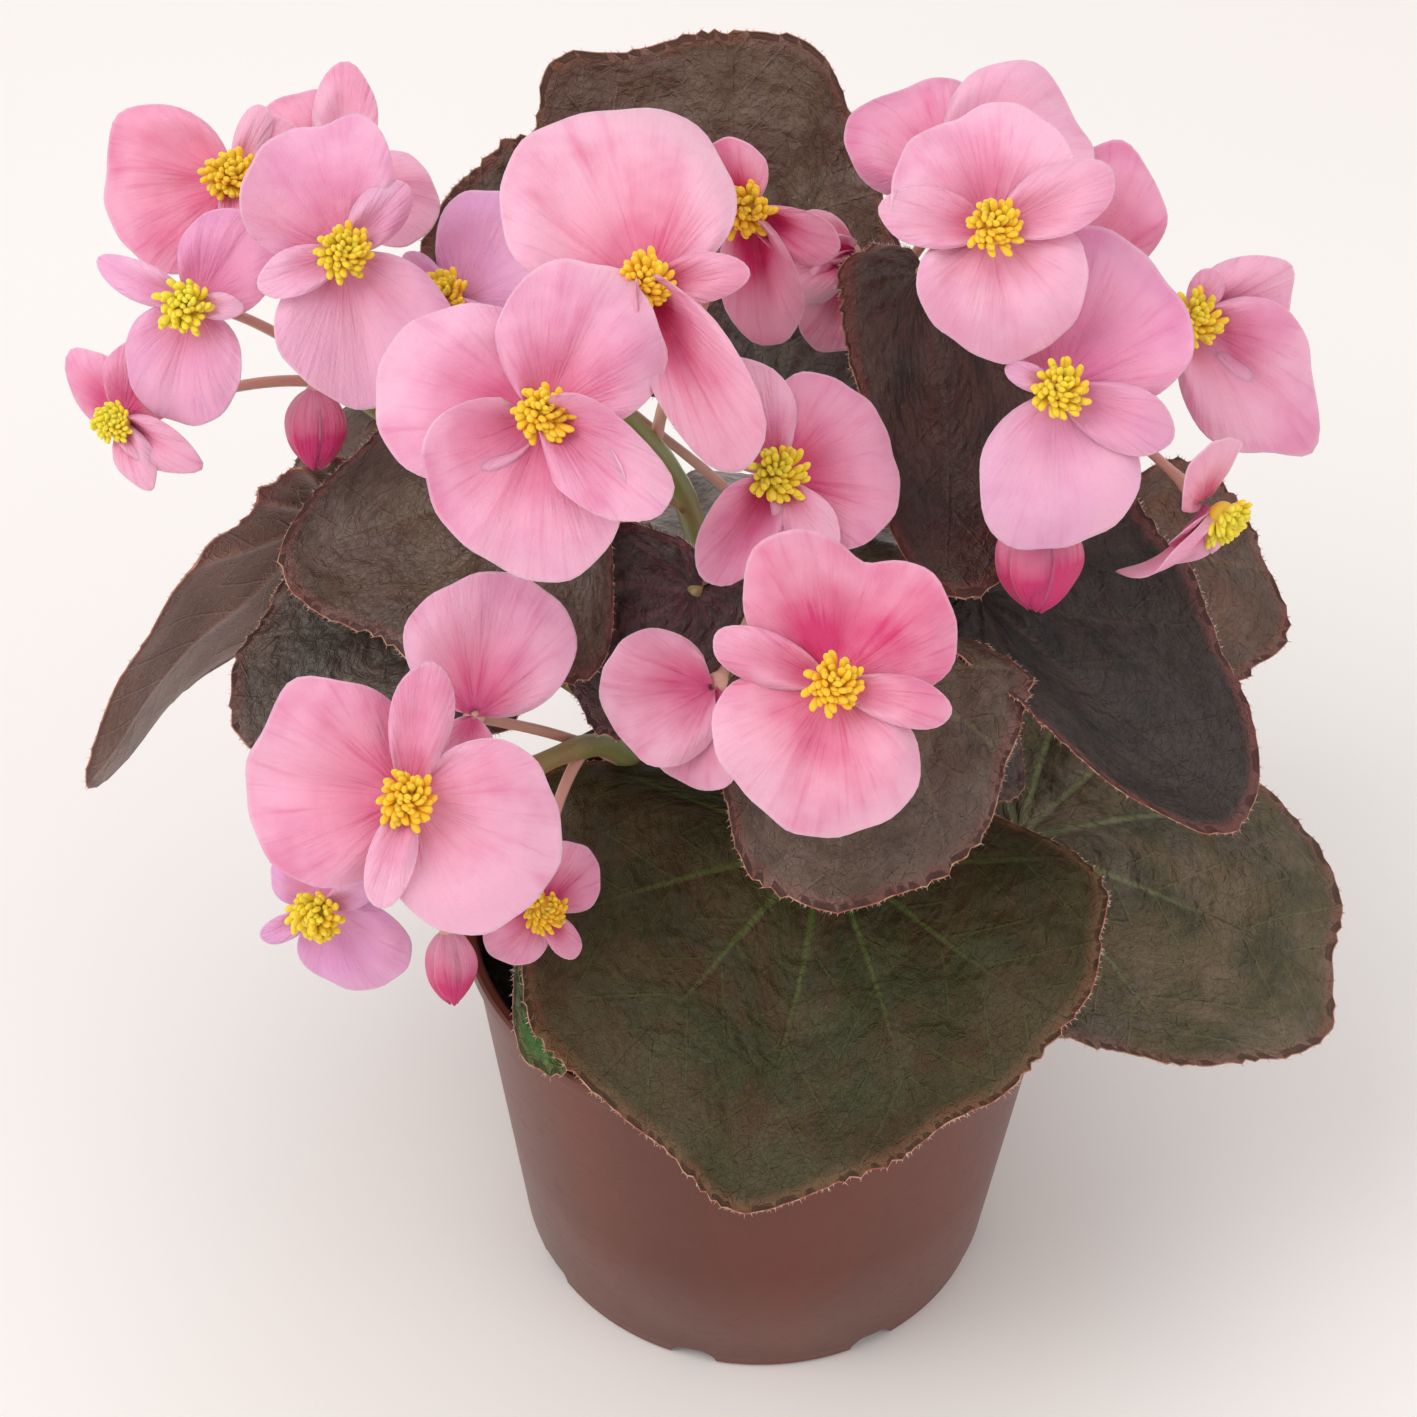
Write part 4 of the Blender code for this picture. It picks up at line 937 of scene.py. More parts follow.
def stem_finish(plant):
    """Juicy pale green flushed red, finely streaked along, with pale specks."""
    finish = Finish("juicy_stem", Coat_Weight=0.15, Coat_Roughness=0.25,
                    **fleshy(0.25, 0.002, (0.6, 0.8, 0.3)))
    _, _, kind, _ = finish.attribute("stem")
    place = finish.place()
    patches = finish.noise(place, 45, 3)
    streaks = finish.noise(finish.scaled(place, (900, 900, 120)), 1.0, 2)
    specks = finish.cells(place, 750)
    flush = finish.math("MULTIPLY", finish.step(patches, 0.42, 0.72), 0.75)
    flush = finish.math("ADD", flush, finish.step(kind, 0.2, 0.6, 0, 0.18))
    colour = finish.mix(flush, tuple(plant.stem_green), tuple(plant.stem_flush))
    colour = finish.mix(finish.math("MULTIPLY", streaks, 0.25), colour, screen_colour(98, 108, 48))
    colour = finish.mix(finish.step(specks, 0.16, 0.08, 0, 0.55), colour, screen_colour(206, 205, 160))
    colour = finish.mix(finish.step(kind, 0.7, 0.95, 0, 0.7), colour, screen_colour(234, 176, 168))
    normal = finish.raised(streaks, 0.0002, 0.5)
    return finish.done(colour, finish.step(patches, 0.3, 0.7, 0.30, 0.42), normal)


def make_shoot(name):
    plant = bpy.context.scene.begonia_plant
    skin = Skin()
    line = main_stem(name, 12)
    shares = np.linspace(0, 1, len(line))
    radii = plant.stem_radius + (plant.stem_tip_radius - plant.stem_radius) * shares
    places = [each["at"] for each in (*LEAVES.values(), *FLOWERS.values(), *BUDS.values())
              if each["shoot"] == name]
    for place in places:
        radii = radii * (1 + 0.16 * np.exp(-((shares - place) / 0.035) ** 2))
    add_tube(skin, line, radii, 0.0, 0.05)
    for number, leaf in enumerate(each for each in LEAVES.values() if each["shoot"] == name):
        frame_of_leaf = leaf_frame(leaf)
        normal = frame_of_leaf.to_3x3() @ Vector((0, 0, 1))
        tipwards = frame_of_leaf.to_3x3() @ Vector((1, 0, 0))
        arriving = (normal * 0.8 + tipwards * 0.6).normalized()
        end = frame_of_leaf.translation - normal * 0.0004
        points = branch(name, leaf["at"], end, arriving)
        spread = np.linspace(0, 1, len(points))
        wide = plant.petiole_radius * (1.45 - 0.45 * spread + 0.35 * eased(spread, 0.93, 1.0)
                                       + 0.5 * eased(spread, 0.08, 0.0))
        add_tube(skin, points, wide, LEAF_STALK, 0.07, number)
    for table, swelling in ((FLOWERS, 1.3), (BUDS, 0.9)):
        for number, each in enumerate(each for each in table.values() if each["shoot"] == name):
            facing = heading_vector(each["heading"], each["tilt"])
            behind = each["length"] * MM / 2 - 0.0012 if table is BUDS else 0.0006
            end = in_plant(each["middle"]) - facing * behind
            points = branch(name, each["at"], end, facing)
            spread = np.linspace(0, 1, len(points))
            wide = plant.pedicel_radius * (1.35 - 0.35 * spread + swelling * eased(spread, 0.86, 1.0))
            add_tube(skin, points, wide, FLOWER_STALK, 0.05, number)
    piece = show("stems_" + name, skin.mesh("stems_" + name, "stem"), [stem_finish(plant)])
    tidy_seams(piece.data, 2 * SEAM)
    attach(piece, BODY)
    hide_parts("shoot_" + name)
    return piece


# ---------------------------------------------------------------- leaves
VEIN_SPREAD = math.tau / 11  # angle between main veins
SIDE_VEIN_LEAN = 1.1         # how much side veins lean forward
UPPER, UNDER, MARGIN, HAIR = range(4)
MARGIN_BULGE = 0.0002        # how far the middle of a leaf's rim stands out
HAIR_WIDTH = 0.00008         # half a hair's width at its root
HAIR_HEIGHT = 0.0001
HAIRLESS = 2.9               # no hairs beyond this angle from the tip, in the notch at the stalk


def leaf_frame(leaf):
    """X runs to the tip, Y to the leaf's left and Z out of its upper face."""
    tipwards = heading_vector(leaf["heading"], leaf["pitch"])
    normal = (Vector((0, 0, 1)) - tipwards * tipwards.z).normalized()
    normal = Matrix.Rotation(math.radians(leaf["bank"]), 3, tipwards) @ normal
    placed = Matrix((tipwards, normal.cross(tipwards), normal)).transposed().to_4x4()
    placed.translation = in_plant(leaf["base"])
    return placed


def leaf_reach(leaf, angle):
    """Distances from the base to the leaf's edge, at angles from the tip's direction."""
    side = np.where(angle > 0, leaf["left"], leaf["right"]) * MM
    ahead = np.where(np.abs(angle) > math.pi / 2, leaf["lobes"],
                     (1 - leaf["point"]) * leaf["length"]) * MM
    power = leaf["fullness"]
    oval = (np.abs(np.cos(angle) / ahead) ** power + np.abs(np.sin(angle) / side) ** power) ** (-1 / power)
    point = leaf["point"] * leaf["length"] * MM * np.exp(-(angle / 0.30) ** 2)
    sinus = 1 - 0.86 * np.exp(-((math.pi - np.abs(angle)) / 0.36) ** 2)
    return oval * sinus + point


def margin_teeth(edge, plant, rng):
    """How far the teeth push the margin out, for a closed ring of edge points."""
    steps = np.linalg.norm(np.diff(edge, axis=0, append=edge[:1]), axis=1)
    run = np.concatenate(([0], np.cumsum(steps)[:-1])) / plant.tooth_gap
    run = run + 0.7 * np.sin(run * 0.8 + rng.uniform(0, 6)) + 0.3 * np.sin(run * 2.3)
    number, share = np.floor(run), run % 1
    lively = 0.10 + 0.95 * np.abs(np.sin(12.9898 * number + rng.uniform(0, 6))) ** 1.5
    return plant.tooth * lively * (share ** 1.3 * eased(share, 1.0, 0.80) * 1.5 - 0.25)


def quilt(x, y, plant):
    """The upper face between its veins: sunken veins and soft cushions, in metres."""
    radius = np.hypot(x, y)
    turn = np.arctan2(y, x) / VEIN_SPREAD
    aside = np.abs((turn + 0.5) % 1 - 0.5) * VEIN_SPREAD * radius
    between = np.abs(((radius - SIDE_VEIN_LEAN * aside) / plant.vein_gap + 0.5) % 1 - 0.5) * plant.vein_gap
    main = np.exp(-(aside / 0.0012) ** 2) * plant.vein_depth * eased(radius, 0.055, 0.0)
    side = np.exp(-(between / 0.0010) ** 2) * 0.25 * plant.vein_depth * eased(aside, 0.0, 0.003)
    cushion = 0.00055 * (1 - np.exp(-(aside / 0.005) ** 2)) * eased(radius, 0.004, 0.02)
    return cushion - main - side, main


def make_leaf(name, seed):
    """One leaf: a quilted blade with its underside, toothed margin and hairs."""
    plant = bpy.context.scene.begonia_plant
    leaf = LEAVES[name]
    rng = random.Random(seed)
    reach_mm = max(leaf["length"], leaf["left"] + leaf["right"])
    columns = int(96 + 2.9 * reach_mm)
    rings = int(10 + 0.42 * reach_mm)
    angle = (np.arange(columns) + 0.5) * math.tau / columns - math.pi
    shares = (np.arange(rings + 1) / rings)[1:] ** 0.85
    reach = leaf_reach(leaf, angle)
    edge = np.stack((reach * np.cos(angle), reach * np.sin(angle)), -1)
    teeth = margin_teeth(edge, plant, rng) * eased(math.pi - np.abs(angle), 0.1, 0.5)
    wander = 1
    for size, lobes in ((0.024, 3), (0.016, 7), (0.010, 15)):
        wander = wander + size * np.sin(lobes * angle + rng.uniform(0, 6))
    for middle, width, share in LEAF_CORNERS.get(name, ()):
        wander = wander + share * np.exp(-((angle - middle) / width) ** 2)
    length = leaf["length"] * MM
    rows = shares[:, None]
    radius = rows * (reach * wander)[None, :] + teeth[None, :] * rows ** 8
    x = radius * np.cos(angle)
    y = radius * np.sin(angle)
    bend = 0.07 * np.sin(radius * 55 + 2 * angle + rng.uniform(0, 6)) * (1 - 0.5 * rows)
    plan_x = radius * np.cos(angle + bend)
    plan_y = radius * np.sin(angle + bend)
    raised, rib = quilt(plan_x, plan_y, plant)
    terms = waves(rng, 6, 0.050, 0.018)
    ruffle = (np.sin(7 * angle + rng.uniform(0, 6)) + 0.6 * np.sin(13 * angle + rng.uniform(0, 6))
              + 0.35 * np.sin(23 * angle + rng.uniform(0, 6)))
    roll_left, roll_right = MARGIN_ROLLS.get(name, (-1.0, -1.0))
    rolled = np.where(angle > 0, roll_left, roll_right) * MM * np.abs(np.sin(angle))
    z = ((leaf["cup"] * y * y - leaf["droop"] * x * np.abs(x)) / length + raised * (1 - 0.7 * rows ** 10)
         + 0.0016 * rolling(terms, x, y) * eased(rows, 0.1, 0.8)
         + 0.011 * length * ruffle * rows ** 6 + rolled * eased(rows, 0.72, 1.0) ** 2)
    thick = plant.blade * (1 - 0.45 * rows ** 6) + 0 * x
    placed = leaf_frame(leaf)
    origin = np.array(placed.translation)
    top = moved(placed, np.stack((x, y, z), -1))
    low = moved(placed, np.stack((x, y, z - thick - 1.3 * rib), -1))
    from_edge = (1 - rows) * reach[None, :] / MM
    plan = np.stack((plan_x / MM, plan_y / MM, from_edge + 0 * x), -1)
    extra = np.stack((rows + 0 * x, np.full_like(x, rng.random()), 0 * x), -1)
    skin = Skin()
    skin.add_grid(top, True, UPPER, plan, extra)
    skin.add_grid(low, True, UNDER, plan, extra, turned_over=True)
    middle = np.array([moved(placed, (0, 0, -0.0002)), moved(placed, (0, 0, -0.0002 - plant.blade))])
    for kind, ring, centre, order in ((UPPER, top[0], middle[0], 1), (UNDER, low[0], middle[1], -1)):
        fan = [(columns, n, (n + 1) % columns)[::order] for n in range(columns)]
        numbers = np.vstack((plan[0], (0, 0, plan[0, 0, 2])))
        skin.add(np.vstack((ring, centre)), fan, kind, numbers)
    rim = np.stack((low[-1], 0.5 * (low[-1] + top[-1])
                    + moved(placed, np.stack((np.cos(angle), np.sin(angle), 0 * angle), -1)
                            * MARGIN_BULGE) - origin, top[-1]))
    skin.add_grid(rim, True, MARGIN, (0, 0, 0), (1, 0, 0))
    for _ in range(int(2.0 * columns)):
        n = rng.randrange(columns)
        if abs(angle[n]) > HAIRLESS:
            continue
        root = moved(placed, (x[-1, n], y[-1, n], z[-1, n] - 0.5 * thick[-1, n]))
        lean = angle[n] + rng.uniform(-0.7, 0.7)
        tip = moved(placed, np.array((x[-1, n], y[-1, n], z[-1, n])) + plant.hair * rng.uniform(0.3, 1.0)
                    * np.array((math.cos(lean), math.sin(lean), rng.uniform(-0.5, 0.5))))
        sideways = np.array((-math.sin(lean), math.cos(lean), 0))
        across = moved(placed, sideways * HAIR_WIDTH) - origin
        up = moved(placed, (0, 0, HAIR_HEIGHT)) - origin
        skin.add((root - across, root + across, root + up, tip),
                 ((0, 1, 3), (1, 2, 3), (2, 0, 3), (2, 1, 0)), HAIR, (0, 0, 0), (1, 0.5, 0))
    looks = LEAF_LOOKS[name]
    piece = show(name.replace("leaf_", "blade_"), skin.mesh(name, "plan", "margin"), leaf_finishes(looks))
    tidy_seams(piece.data)
    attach(piece, BODY)
    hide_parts(name)
    return piece


def vein_pattern(finish, x, y):
    """Distances in millimetres from the main and side veins, and from the blade's foot."""
    square = finish.math("ADD", finish.math("MULTIPLY", x, x), finish.math("MULTIPLY", y, y))
    radius = finish.math("SQRT", square)
    turn = finish.math("DIVIDE", finish.math("ARCTAN2", y, x), VEIN_SPREAD)
    share = finish.math("PINGPONG", turn, 0.5)
    aside = finish.math("MULTIPLY", finish.math("MULTIPLY", share, radius), VEIN_SPREAD)
    gap = bpy.context.scene.begonia_plant.vein_gap / MM
    along = finish.math("SUBTRACT", radius, finish.math("MULTIPLY", aside, SIDE_VEIN_LEAN))
    between = finish.math("MULTIPLY", finish.math("PINGPONG", finish.math("DIVIDE", along, gap), 0.5), gap)
    return aside, between, radius


def leaf_top_finish(looks, tone):
    """Glossy, quilted upper face: patches of two browns or greens, paler veins, a red margin, painted sheen.
    """
    gloss = tone.get("gloss", 1.0)
    finish = Finish("leaf_top_" + looks, Coat_Weight=0.16 * gloss, Coat_Roughness=0.26,
                    Specular_IOR_Level=0.25 + 0.25 * gloss, **fleshy(0.06, 0.001, (0.5, 0.6, 0.2)))
    x, y, from_edge, plan = finish.attribute("plan")
    _, _, _, margin = finish.attribute("margin")
    aside, between, radius = vein_pattern(finish, x, y)
    shifted = finish.node("VectorMath", operation="ADD")
    finish.feed(shifted.inputs[0], plan)
    finish.feed(shifted.inputs[1], finish.scaled(margin, (0, 90, 0)))
    plan = shifted.outputs[0]
    patches = finish.noise(plan, 0.07, 4, 0.6)
    blotches = finish.noise(plan, 0.35, 4, 0.65)
    cells = finish.cells(plan, 0.55, "DISTANCE_TO_EDGE")
    pores = finish.cells(plan, 2.6)
    width = finish.math("MAXIMUM", finish.math("SUBTRACT", 1.15, finish.math("MULTIPLY", radius, 0.016)), 0.3)
    main = finish.step(finish.math("DIVIDE", aside, width), 1.0, 0.15)
    faded = finish.step(radius, 46, 12)
    side = finish.math("MULTIPLY", finish.step(between, 0.5, 0.1), finish.step(aside, 0.3, 1.5))
    net = finish.step(cells, 0.10, 0.0)
    ground, patch, vein, rim = (screen_colour(*tone[part]) for part in ("main", "patch", "vein", "rim"))
    # painted sheen: the pale colour of the leaf's reflections, painted into its colour
    painted_sheen = screen_colour(*tone.get("painted_sheen", (128, 108, 98)))
    colour = finish.mix(finish.step(patches, 0.36, 0.64), ground, patch)
    colour = finish.mix(finish.step(from_edge, 15, 2, 0, 0.45), colour, patch)
    colour = finish.mix(finish.step(blotches, 0.5, 0.75, 0, 0.22), colour,
                        tuple(0.55 * part for part in ground))
    colour = finish.mix(finish.math("MULTIPLY", net, 0.12), colour, vein)
    colour = finish.mix(finish.math("MULTIPLY", side, 0.16), colour, vein)
    colour = finish.mix(finish.math("MULTIPLY", finish.math("MULTIPLY", main, faded), 0.75), colour, vein)
    colour = finish.mix(finish.step(from_edge, 3.2, 0.6, 0, 0.7), colour, rim)
    # painted sheen: pale reflections painted over the colour in soft patches
    sheen = finish.math("MULTIPLY", finish.step(finish.noise(plan, 0.06, 4, 0.7), 0.42, 0.60),
                        finish.step(finish.cells(plan, 0.32), 0.0, 0.6, 0.45, 1.0))
    colour = finish.mix(finish.math("MULTIPLY", sheen, 0.34), colour, painted_sheen)
    roughness = finish.math("ADD", finish.math("MULTIPLY", blotches, 0.26), tone["dull"] - 0.10)
    normal = finish.raised(net, 0.00025, 0.6)
    normal = finish.raised(side, 0.0004, 0.5, normal)
    normal = finish.raised(main, 0.0005, 0.5, normal)
    normal = finish.raised(finish.step(pores, 0.15, 0.5), 0.00012, 0.6, normal)
    normal = finish.raised(blotches, 0.0012, 0.5, normal)
    normal = finish.raised(finish.noise(plan, 0.17, 2), 0.0035, 0.8, normal)
    return finish.done(colour, roughness, normal)


def leaf_under_finish(looks, tone):
    """Matt mauve-brown underside with raised, paler ribs."""
    plant = bpy.context.scene.begonia_plant
    finish = Finish("leaf_under_" + looks, Coat_Weight=0.1, Coat_Roughness=0.35,
                    Sheen_Weight=0.2, Sheen_Roughness=0.5, **fleshy(0.08, 0.001, (0.7, 0.4, 0.3)))
    x, y, from_edge, plan = finish.attribute("plan")
    aside, between, _ = vein_pattern(finish, x, y)
    patches = finish.noise(plan, 0.12, 4, 0.6)
    cells = finish.cells(plan, 0.55, "DISTANCE_TO_EDGE")
    main = finish.step(aside, 1.1, 0.15)
    side = finish.math("MULTIPLY", finish.step(between, 0.5, 0.1), finish.step(aside, 0.3, 1.5))
    net = finish.step(cells, 0.12, 0.0)
    deep = tuple(0.5 * part for part in plant.underside)
    ground = tuple(plant.underside) if looks != "young" else screen_colour(96, 130, 70)
    pale = tuple(min(1.0, 1.7 * part + 0.02) for part in ground)
    colour = finish.mix(finish.step(patches, 0.35, 0.7, 0, 0.6), ground, deep)
    colour = finish.mix(finish.math("MULTIPLY", net, 0.25), colour, pale)
    colour = finish.mix(finish.math("MULTIPLY", side, 0.3), colour, pale)
    colour = finish.mix(finish.math("MULTIPLY", main, 0.6), colour, pale)
    colour = finish.mix(finish.step(from_edge, 2.5, 0.5, 0, 0.6), colour, screen_colour(*tone["rim"]))
    normal = finish.raised(net, 0.0004, 0.6)
    normal = finish.raised(side, 0.0006, 0.6, normal)
    normal = finish.raised(main, 0.0008, 0.6, normal)
    return finish.done(colour, finish.step(patches, 0.3, 0.7, 0.42, 0.55), normal)


def leaf_rim_finish():
    """The thin, pale reddish margin."""
    finish = Finish("leaf_margin", **fleshy(0.2, 0.001))
    spots = finish.noise(finish.place(), 420, 2)
    colour = finish.mix(finish.step(spots, 0.4, 0.65), screen_colour(150, 82, 66),
                        screen_colour(196, 150, 122))
    return finish.done(colour, finish.step(spots, 0.3, 0.7, 0.4, 0.6))


def leaf_hair_finish():
    """Fine glassy hairs."""
    finish = Finish("leaf_hair", Sheen_Weight=0.3, **fleshy(0.3, 0.0005))
    tints = finish.noise(finish.place(), 300, 1)
    colour = finish.mix(finish.step(tints, 0.4, 0.6), screen_colour(226, 196, 176),
                        screen_colour(206, 140, 128))
    return finish.done(colour, finish.step(tints, 0.4, 0.6, 0.4, 0.5))


def leaf_finishes(looks):
    """Upper face, underside, margin and hairs, each made once for all leaves alike."""
    tone = LEAF_FINISHES[looks]
    wanted = {"leaf_top_" + looks: lambda: leaf_top_finish(looks, tone),
              "leaf_under_" + looks: lambda: leaf_under_finish(looks, tone),
              "leaf_margin": leaf_rim_finish, "leaf_hair": leaf_hair_finish}
    return [bpy.data.materials.get(name) or made() for name, made in wanted.items()]


# ---------------------------------------------------------------- flowers
PETAL_START = 0.05           # where a petal begins, as a share of its length
PETAL_FAN = math.radians(84)  # half the angle that a broad petal fans out to
PETAL_EDGE = 0.22            # a narrow petal's side length, as a share of its length
TUFT_HEIGHT = 0.0006         # the stamens' foot above the foremost petal
FRONT, BACK = 0, 1


def flower_frame(flower):
    """X is the flower's right, Y its top and Z the way it looks."""
    facing = heading_vector(flower["heading"], flower["tilt"])
    right = Vector((0, 0, 1)).cross(facing).normalized()
    placed = Matrix((right, facing.cross(right), facing)).transposed().to_4x4()
    placed.translation = in_plant(flower["middle"])
    return placed


def add_petal(skin, placed, layer, petal, traits, tint, rng):
    """Adds one petal as a thin closed shell, front, back and rim."""
    settings = bpy.context.scene.begonia_flower
    clock, length_mm, narrowness, opening = petal
    length = length_mm * MM
    broad = narrowness < 1.5
    if broad:
        fan = PETAL_FAN if narrowness > 0.3 else PETAL_FAN + 0.05
    else:
        fan = math.acos(PETAL_EDGE ** (1 / narrowness))
    columns, rows = (44, 30) if broad else (26, 24)
    u = np.linspace(-1, 1, columns)[None, :]
    v = np.linspace(0, 1, rows)[:, None] ** 0.9
    angle = u * fan
    outline = np.cos(angle) ** narrowness * (1 - (0.34 if broad else 0.25) * np.abs(u) ** 5)
    phase = [rng.uniform(0, 6) for _ in range(6)]
    outline = outline * (1 + 0.035 * np.sin(3.1 * angle + phase[0]) + 0.014 * np.sin(8 * angle + phase[1])
                         + 0.006 * np.sin(19 * angle + phase[5]))
    outline = outline * (1 - traits.get("notch", 0) * np.exp(-((angle - 0.05) / 0.28) ** 2))
    outline = outline + traits.get("point", 0) * np.exp(-(angle / 0.20) ** 2)
    corner_angle, corner_share = traits.get("corner", (0, 0))
    outline = outline + corner_share * np.exp(-((angle - corner_angle) / 0.22) ** 2)
    reach = (PETAL_START + (1 - PETAL_START) * v) * length * outline
    x = reach * np.cos(angle)
    y = reach * np.sin(angle) * traits.get("slim", 1.0)
    wave = traits.get("wave", 0.030 if broad else 0.045)
    ruffle = np.sin(3.3 * angle * 1.6 + phase[2]) + 0.55 * np.sin(6.1 * angle * 1.6 + phase[3])
    body = (0.22 * y * y - 0.20 * x * x) / length
    hood = traits.get("hood", 0.0) * length * (np.abs(np.sin(angle)) * v) ** 2 * eased(v, 0.2, 0.9)
    flap = traits.get("flap", (0.0, 1, 0.8))
    beyond = np.maximum(0, flap[1] * y * math.cos(flap[2]) + x * math.sin(flap[2]) - 0.42 * length)
    flapped = flap[0] * beyond * beyond / length
    groove = 0.05 * length * np.exp(-(y / (0.09 * length)) ** 2) * eased(v, 0.0, 0.3) * (1 - 0.6 * v)
    fold = traits.get("crease", 0.0) * length * np.abs(np.sin(angle)) * eased(v, 0.05, 0.5)
    roll = traits.get("roll", 0.07) * length * eased(v, 0.60, 1.05) ** 2
    soft = (0.030 * length * np.sin(1.6 * v * math.pi + phase[4] + 2 * u)
            + 0.020 * length * np.sin(5.5 * u + 2 * v + phase[5])) * eased(v, 0.1, 0.6)
    lift = body + hood + flapped - groove + fold - roll + soft + wave * length * ruffle * v ** 2.5
    thick = settings.petal * (1 - 0.62 * v ** 1.5) * (1 - 0.4 * np.abs(u) ** 6)
    turn = Matrix.Rotation(math.radians(clock), 4, "Z")
    tip_up = Matrix.Rotation(-math.radians(opening), 4, "Y")
    where = placed @ Matrix.Translation((0, 0, layer * settings.layer)) @ turn @ tip_up
    front = moved(where, np.stack((x, y, lift), -1))
    back = moved(where, np.stack((x, y, lift - thick), -1))
    tone = rng.random() - traits.get("pale", 0.0)
    numbers = np.stack(np.broadcast_arrays(u, v, tone), -1)
    skin.add_grid(front, False, FRONT, numbers, tint)
    skin.add_grid(back, False, BACK, numbers, tint, turned_over=True)
    for strip, strip_numbers in rim_strips(front, back, numbers):
        skin.add_grid(strip, False, FRONT, strip_numbers, tint)


def petal_finish(settings, back):
    """Soft crystalline petal: deeper pink foot and veins, pale edge, cool lavender patches painted on as
    shade.
    """
    finish = Finish("petal_back" if back else "petal_front", Sheen_Weight=0.12, Sheen_Roughness=0.35,
                    Specular_IOR_Level=0.4, **fleshy(0.3, 0.0015, (1.0, 0.35, 0.45)))
    u, v, tone, whole = finish.attribute("petal")
    painted_shade_lavender, depth, _, _ = finish.attribute("tint")
    place = finish.place()
    spread = finish.scaled(whole, (9.0, 1.1, 40.0))
    veins = finish.noise(spread, 1.0, 3, 0.6)
    thin_veins = finish.noise(finish.scaled(whole, (26.0, 1.6, 70.0)), 1.0, 2)
    patches = finish.noise(place, 62, 3)
    foot = finish.math("POWER", finish.step(v, 0.92, 0.0), 1.4)
    own = finish.math("MULTIPLY", finish.math("SUBTRACT", tone, 0.5), 0.40)
    deep_share = finish.math("ADD", finish.math("MULTIPLY", foot, 1.35), 0.20)
    deep_share = finish.math("MULTIPLY", deep_share, depth)
    for more in (finish.step(patches, 0.38, 0.72, 0, 0.42), own, finish.step(veins, 0.5, 0.8, 0, 0.25),
                 finish.step(thin_veins, 0.55, 0.75, 0, 0.16), 0.14 if back else 0.0):
        deep_share = finish.math("ADD", deep_share, more)
    colour = finish.mix(deep_share, tuple(settings.light_pink), tuple(settings.deep_pink))
    # painted shade: cool lavender patches, as much as each flower's share asks
    cool = finish.math("MULTIPLY", finish.step(patches, 0.3, 0.6, 0.4, 1.0), painted_shade_lavender)
    colour = finish.mix(cool, colour, tuple(settings.painted_shade_lavender))
    edge = finish.math("MAXIMUM", finish.step(v, 0.965, 1.0, 0, 0.30),
                       finish.step(finish.math("ABSOLUTE", u), 0.96, 1.0, 0, 0.15))
    colour = finish.mix(edge, colour, screen_colour(252, 214, 230))
    sparkle = finish.cells(place, 2600)
    roughness = finish.step(sparkle, 0.1, 0.6, 0.38, 0.56)
    normal = finish.raised(veins, 0.0010, 0.5)
    normal = finish.raised(thin_veins, 0.0004, 0.5, normal)
    normal = finish.raised(finish.noise(place, 180, 3), 0.0008, 0.5, normal)
    normal = finish.raised(sparkle, 0.00010, 0.5, normal)
    return finish.done(colour, roughness, normal)


def petal_finishes(settings):
    """Front and back of a petal, each made once for all flowers and buds."""
    return [bpy.data.materials.get("petal_front") or petal_finish(settings, False),
            bpy.data.materials.get("petal_back") or petal_finish(settings, True)]


def stamen_finish(settings):
    """Waxy golden stamens, greener where they are fresh."""
    finish = Finish("stamen", Sheen_Weight=0.1, **fleshy(0.4, 0.0015, (1.0, 0.8, 0.15)))
    _, along, own, _ = finish.attribute("petal")
    _, _, golden, _ = finish.attribute("tint")
    place = finish.place()
    dust = finish.noise(place, 1500, 3)
    age = finish.math("ADD", golden, finish.math("MULTIPLY", finish.math("SUBTRACT", own, 0.5), 0.5))
    colour = finish.mix(age, tuple(settings.fresh_pollen), tuple(settings.pollen))
    colour = finish.mix(finish.step(along, 0.5, 0.1, 0, 0.4), colour, screen_colour(232, 160, 30))
    colour = finish.mix(finish.step(dust, 0.55, 0.75, 0, 0.5), colour, screen_colour(255, 222, 96))
    return finish.done(colour, finish.step(dust, 0.3, 0.7, 0.4, 0.65), finish.raised(dust, 0.0001, 0.6))


CLUB = ((0.0, 0.34), (0.26, 0.36), (0.40, 0.46), (0.52, 0.58), (0.68, 0.66), (0.84, 0.66),
        (0.93, 0.54), (0.985, 0.32), (1.0, 0.08))   # share of a stamen's length, half width in mm
CLUB_SIDES = 9
GOLDEN_TURN = 2.39996        # angle from one stamen to the next


